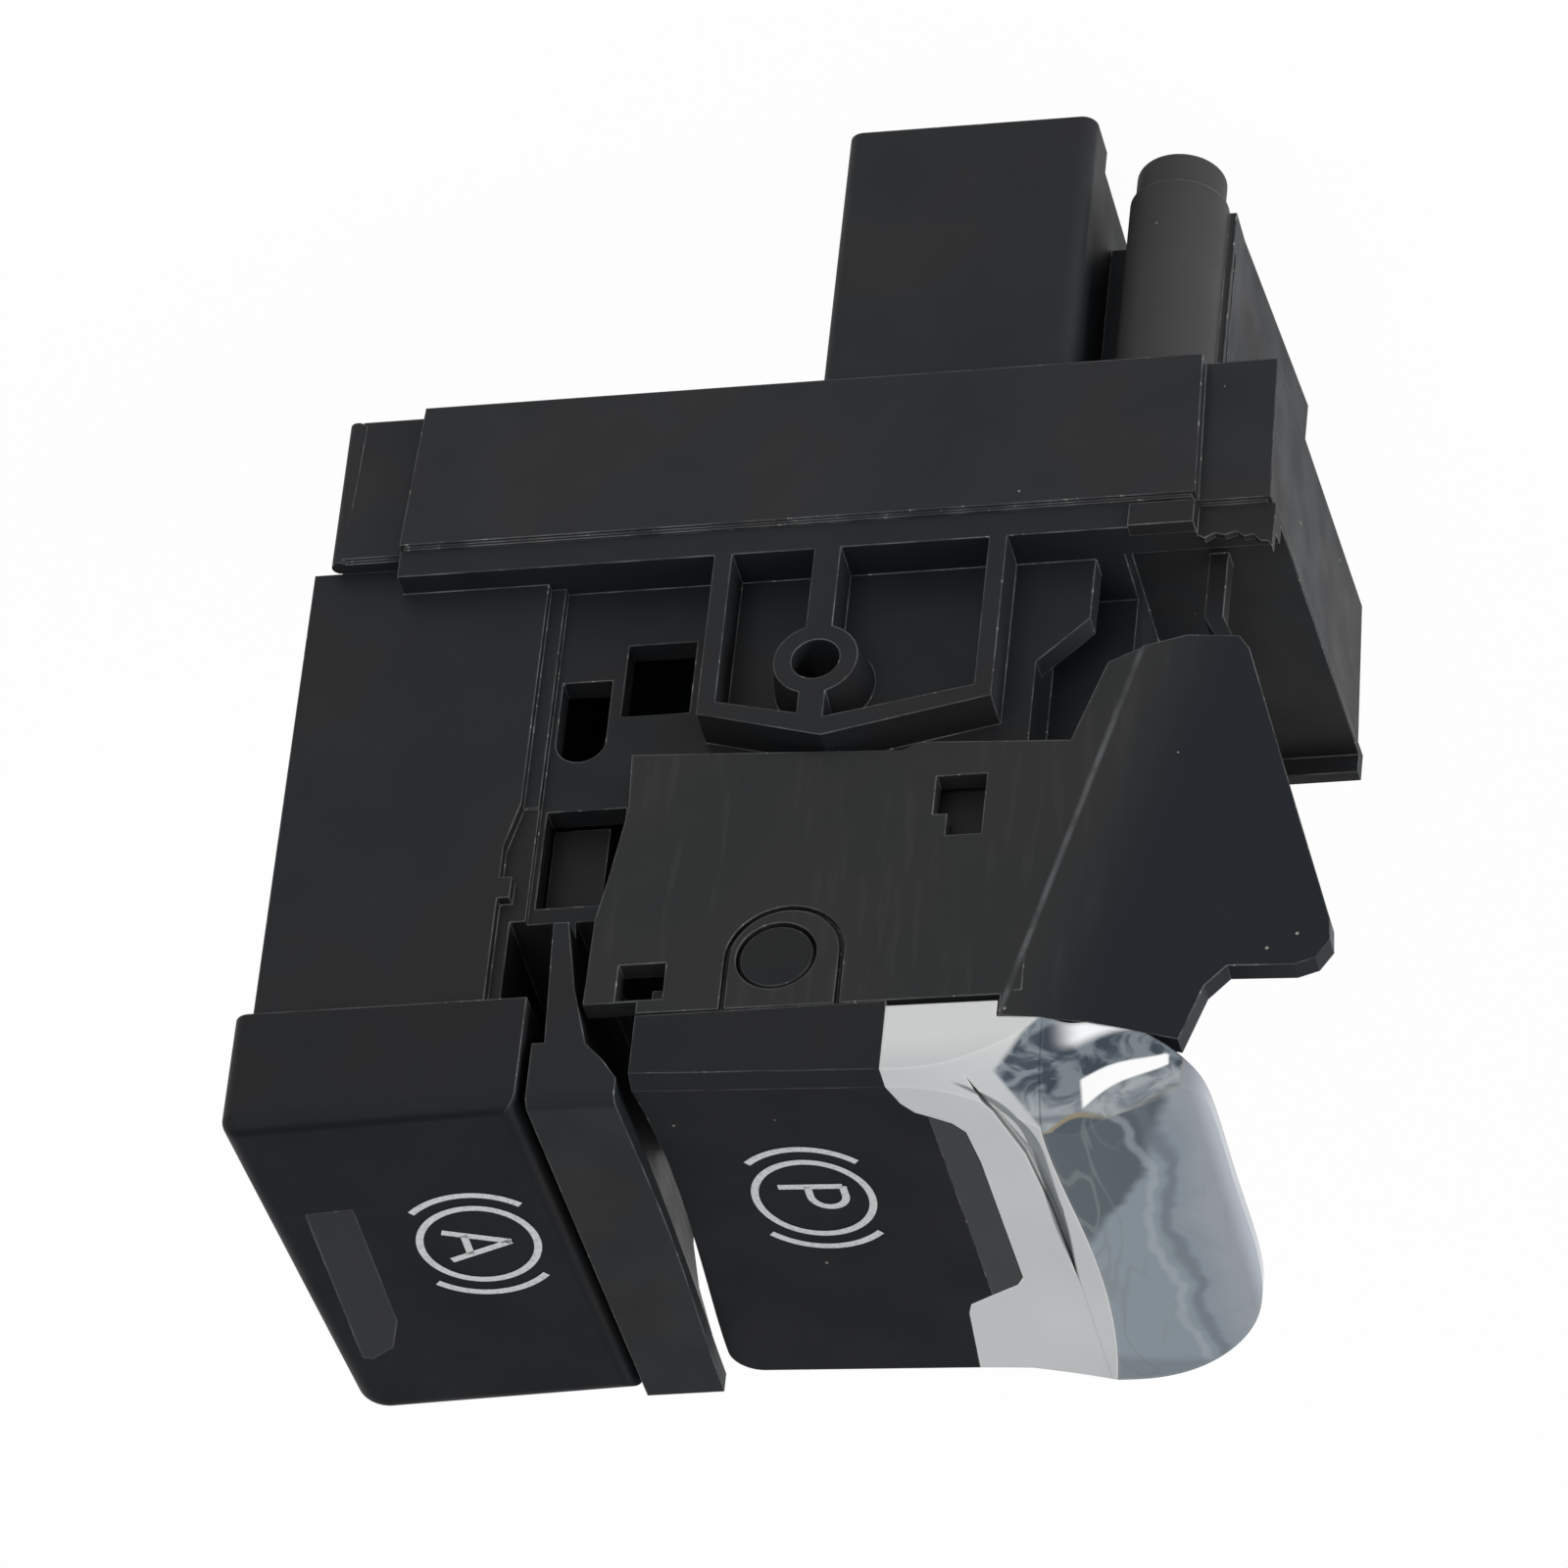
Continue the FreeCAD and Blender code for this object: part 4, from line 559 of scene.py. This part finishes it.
def symbol(name, centre, letter, node, body, ink):
    """Ring, two brake-shoe arcs and a letter, laid on the button's upper face."""
    bm = bmesh.new()
    stroke(bm, arc_points(centre, SYMBOL_RING_R, 0, math.tau, 96)[:-1], closed=True)
    for middle in (math.pi / 2, -math.pi / 2):
        ends = (middle - SYMBOL_ARC_HALF, middle + SYMBOL_ARC_HALF)
        stroke(bm, arc_points(centre, SYMBOL_ARC_R, *ends, 40))
    letter(bm, centre)
    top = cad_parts[node]
    start_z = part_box(node)[1].z + 5 * MM
    for vert in bm.verts:
        _, place, _, _ = top.ray_cast(Vector((vert.co.x, vert.co.y, start_z)), Vector((0, 0, -1)))
        vert.co.z = place.z + SYMBOL_LIFT
    mesh_piece(name, bm, ink, body)


# Stage


def direct_view(tree):
    """1 for rays that should see the plain white surroundings."""
    path = tree.nodes.new("ShaderNodeLightPath")
    total = path.outputs["Is Camera Ray"]
    for name in ("Is Glossy Ray", "Is Transmission Ray"):
        most = tree.nodes.new("ShaderNodeMath")
        most.operation = "MAXIMUM"
        tree.links.new(total, most.inputs[0])
        tree.links.new(path.outputs[name], most.inputs[1])
        total = most.outputs[0]
    return total


def build_world():
    """White surroundings, weaker as light than they look."""
    world = bpy.data.worlds.new("studio")
    world.use_nodes = True
    tree = world.node_tree
    background = tree.nodes["Background"]
    background.inputs["Color"].default_value = (1, 1, 1, 1)
    level = tree.nodes.new("ShaderNodeMapRange")
    level.inputs["To Min"].default_value = WORLD_STRENGTH
    level.inputs["To Max"].default_value = 1.0
    tree.links.new(direct_view(tree), level.inputs["Value"])
    tree.links.new(level.outputs["Result"], background.inputs["Strength"])
    bpy.context.scene.world = world


def build_floor():
    """Pale floor under the part, white to the camera and to reflections."""
    bm = bmesh.new()
    bmesh.ops.create_grid(bm, x_segments=1, y_segments=1, size=FLOOR_HALF)
    mesh = bpy.data.meshes.new("floor")
    bm.to_mesh(mesh)
    bm.free()
    floor = bpy.data.objects.new("floor", mesh)
    floor.location.z = cad_box[0][2]
    bpy.context.scene.collection.objects.link(floor)
    graph = Graph("floor_white")
    pale = graph.add("ShaderNodeBsdfDiffuse")
    pale.inputs["Color"].default_value = (0.9, 0.9, 0.9, 1)
    glow = graph.add("ShaderNodeEmission")
    mix = graph.add("ShaderNodeMixShader")
    graph.link(graph.times(direct_view(graph.tree), FLOOR_WHITE), mix.inputs[0])
    graph.link(pale.outputs[0], mix.inputs[1])
    graph.link(glow.outputs[0], mix.inputs[2])
    graph.link(mix.outputs[0], graph.output.inputs["Surface"])
    mesh.materials.append(graph.material)


def soft_box(name, place, aim, size, watts):
    """Square lamp that lights the part without showing as a highlight."""
    light = bpy.data.lights.new(name, "AREA")
    light.shape = "RECTANGLE"
    light.size, light.size_y = size
    light.energy = watts
    lamp = bpy.data.objects.new(name, light)
    lamp.location = place
    lamp.visible_glossy = False
    lamp.rotation_euler = (Vector(aim) - Vector(place)).to_track_quat("-Z", "Y").to_euler()
    bpy.context.scene.collection.objects.link(lamp)


def build_camera():
    """Same place, aim and roll as the photograph's camera."""
    level = math.cos(CAMERA_ELEVATION)
    backward = Vector((level * math.sin(CAMERA_AZIMUTH), -level * math.cos(CAMERA_AZIMUTH),
                       math.sin(CAMERA_ELEVATION)))
    level_right = Vector((math.cos(CAMERA_AZIMUTH), math.sin(CAMERA_AZIMUTH), 0))
    level_up = backward.cross(level_right)
    right = math.cos(CAMERA_ROLL) * level_right + math.sin(CAMERA_ROLL) * level_up
    up = backward.cross(right)
    per_pixel = CAMERA_DISTANCE / FOCAL_PIXELS
    aside = (ORIGIN_PIXEL[0] - PHOTO_SIZE / 2) * per_pixel
    down = (ORIGIN_PIXEL[1] - PHOTO_SIZE / 2) * per_pixel
    camera = bpy.data.cameras.new("camera")
    camera.sensor_width = SENSOR_MM
    camera.lens = SENSOR_MM * FOCAL_PIXELS / PHOTO_SIZE
    camera.clip_start = 0.01
    shown = bpy.data.objects.new("camera", camera)
    place = backward * CAMERA_DISTANCE - right * aside + up * down
    turn = Matrix((right, up, backward)).transposed()
    shown.matrix_world = Matrix.Translation(place) @ turn.to_4x4()
    bpy.context.scene.collection.objects.link(shown)
    bpy.context.scene.camera = shown


white_ink = printed_white()
dress_nodes()
symbol("brake_symbol", BRAKE_SYMBOL, letter_p, "brake_button_cap", "lever", white_ink)
symbol("hold_symbol", HOLD_SYMBOL, letter_a, "auto_hold_button", "button", white_ink)
build_world()
build_floor()
soft_box("key", **KEY)
soft_box("fill", **FILL)
build_camera()
bpy.context.scene.view_settings.view_transform = "Standard"
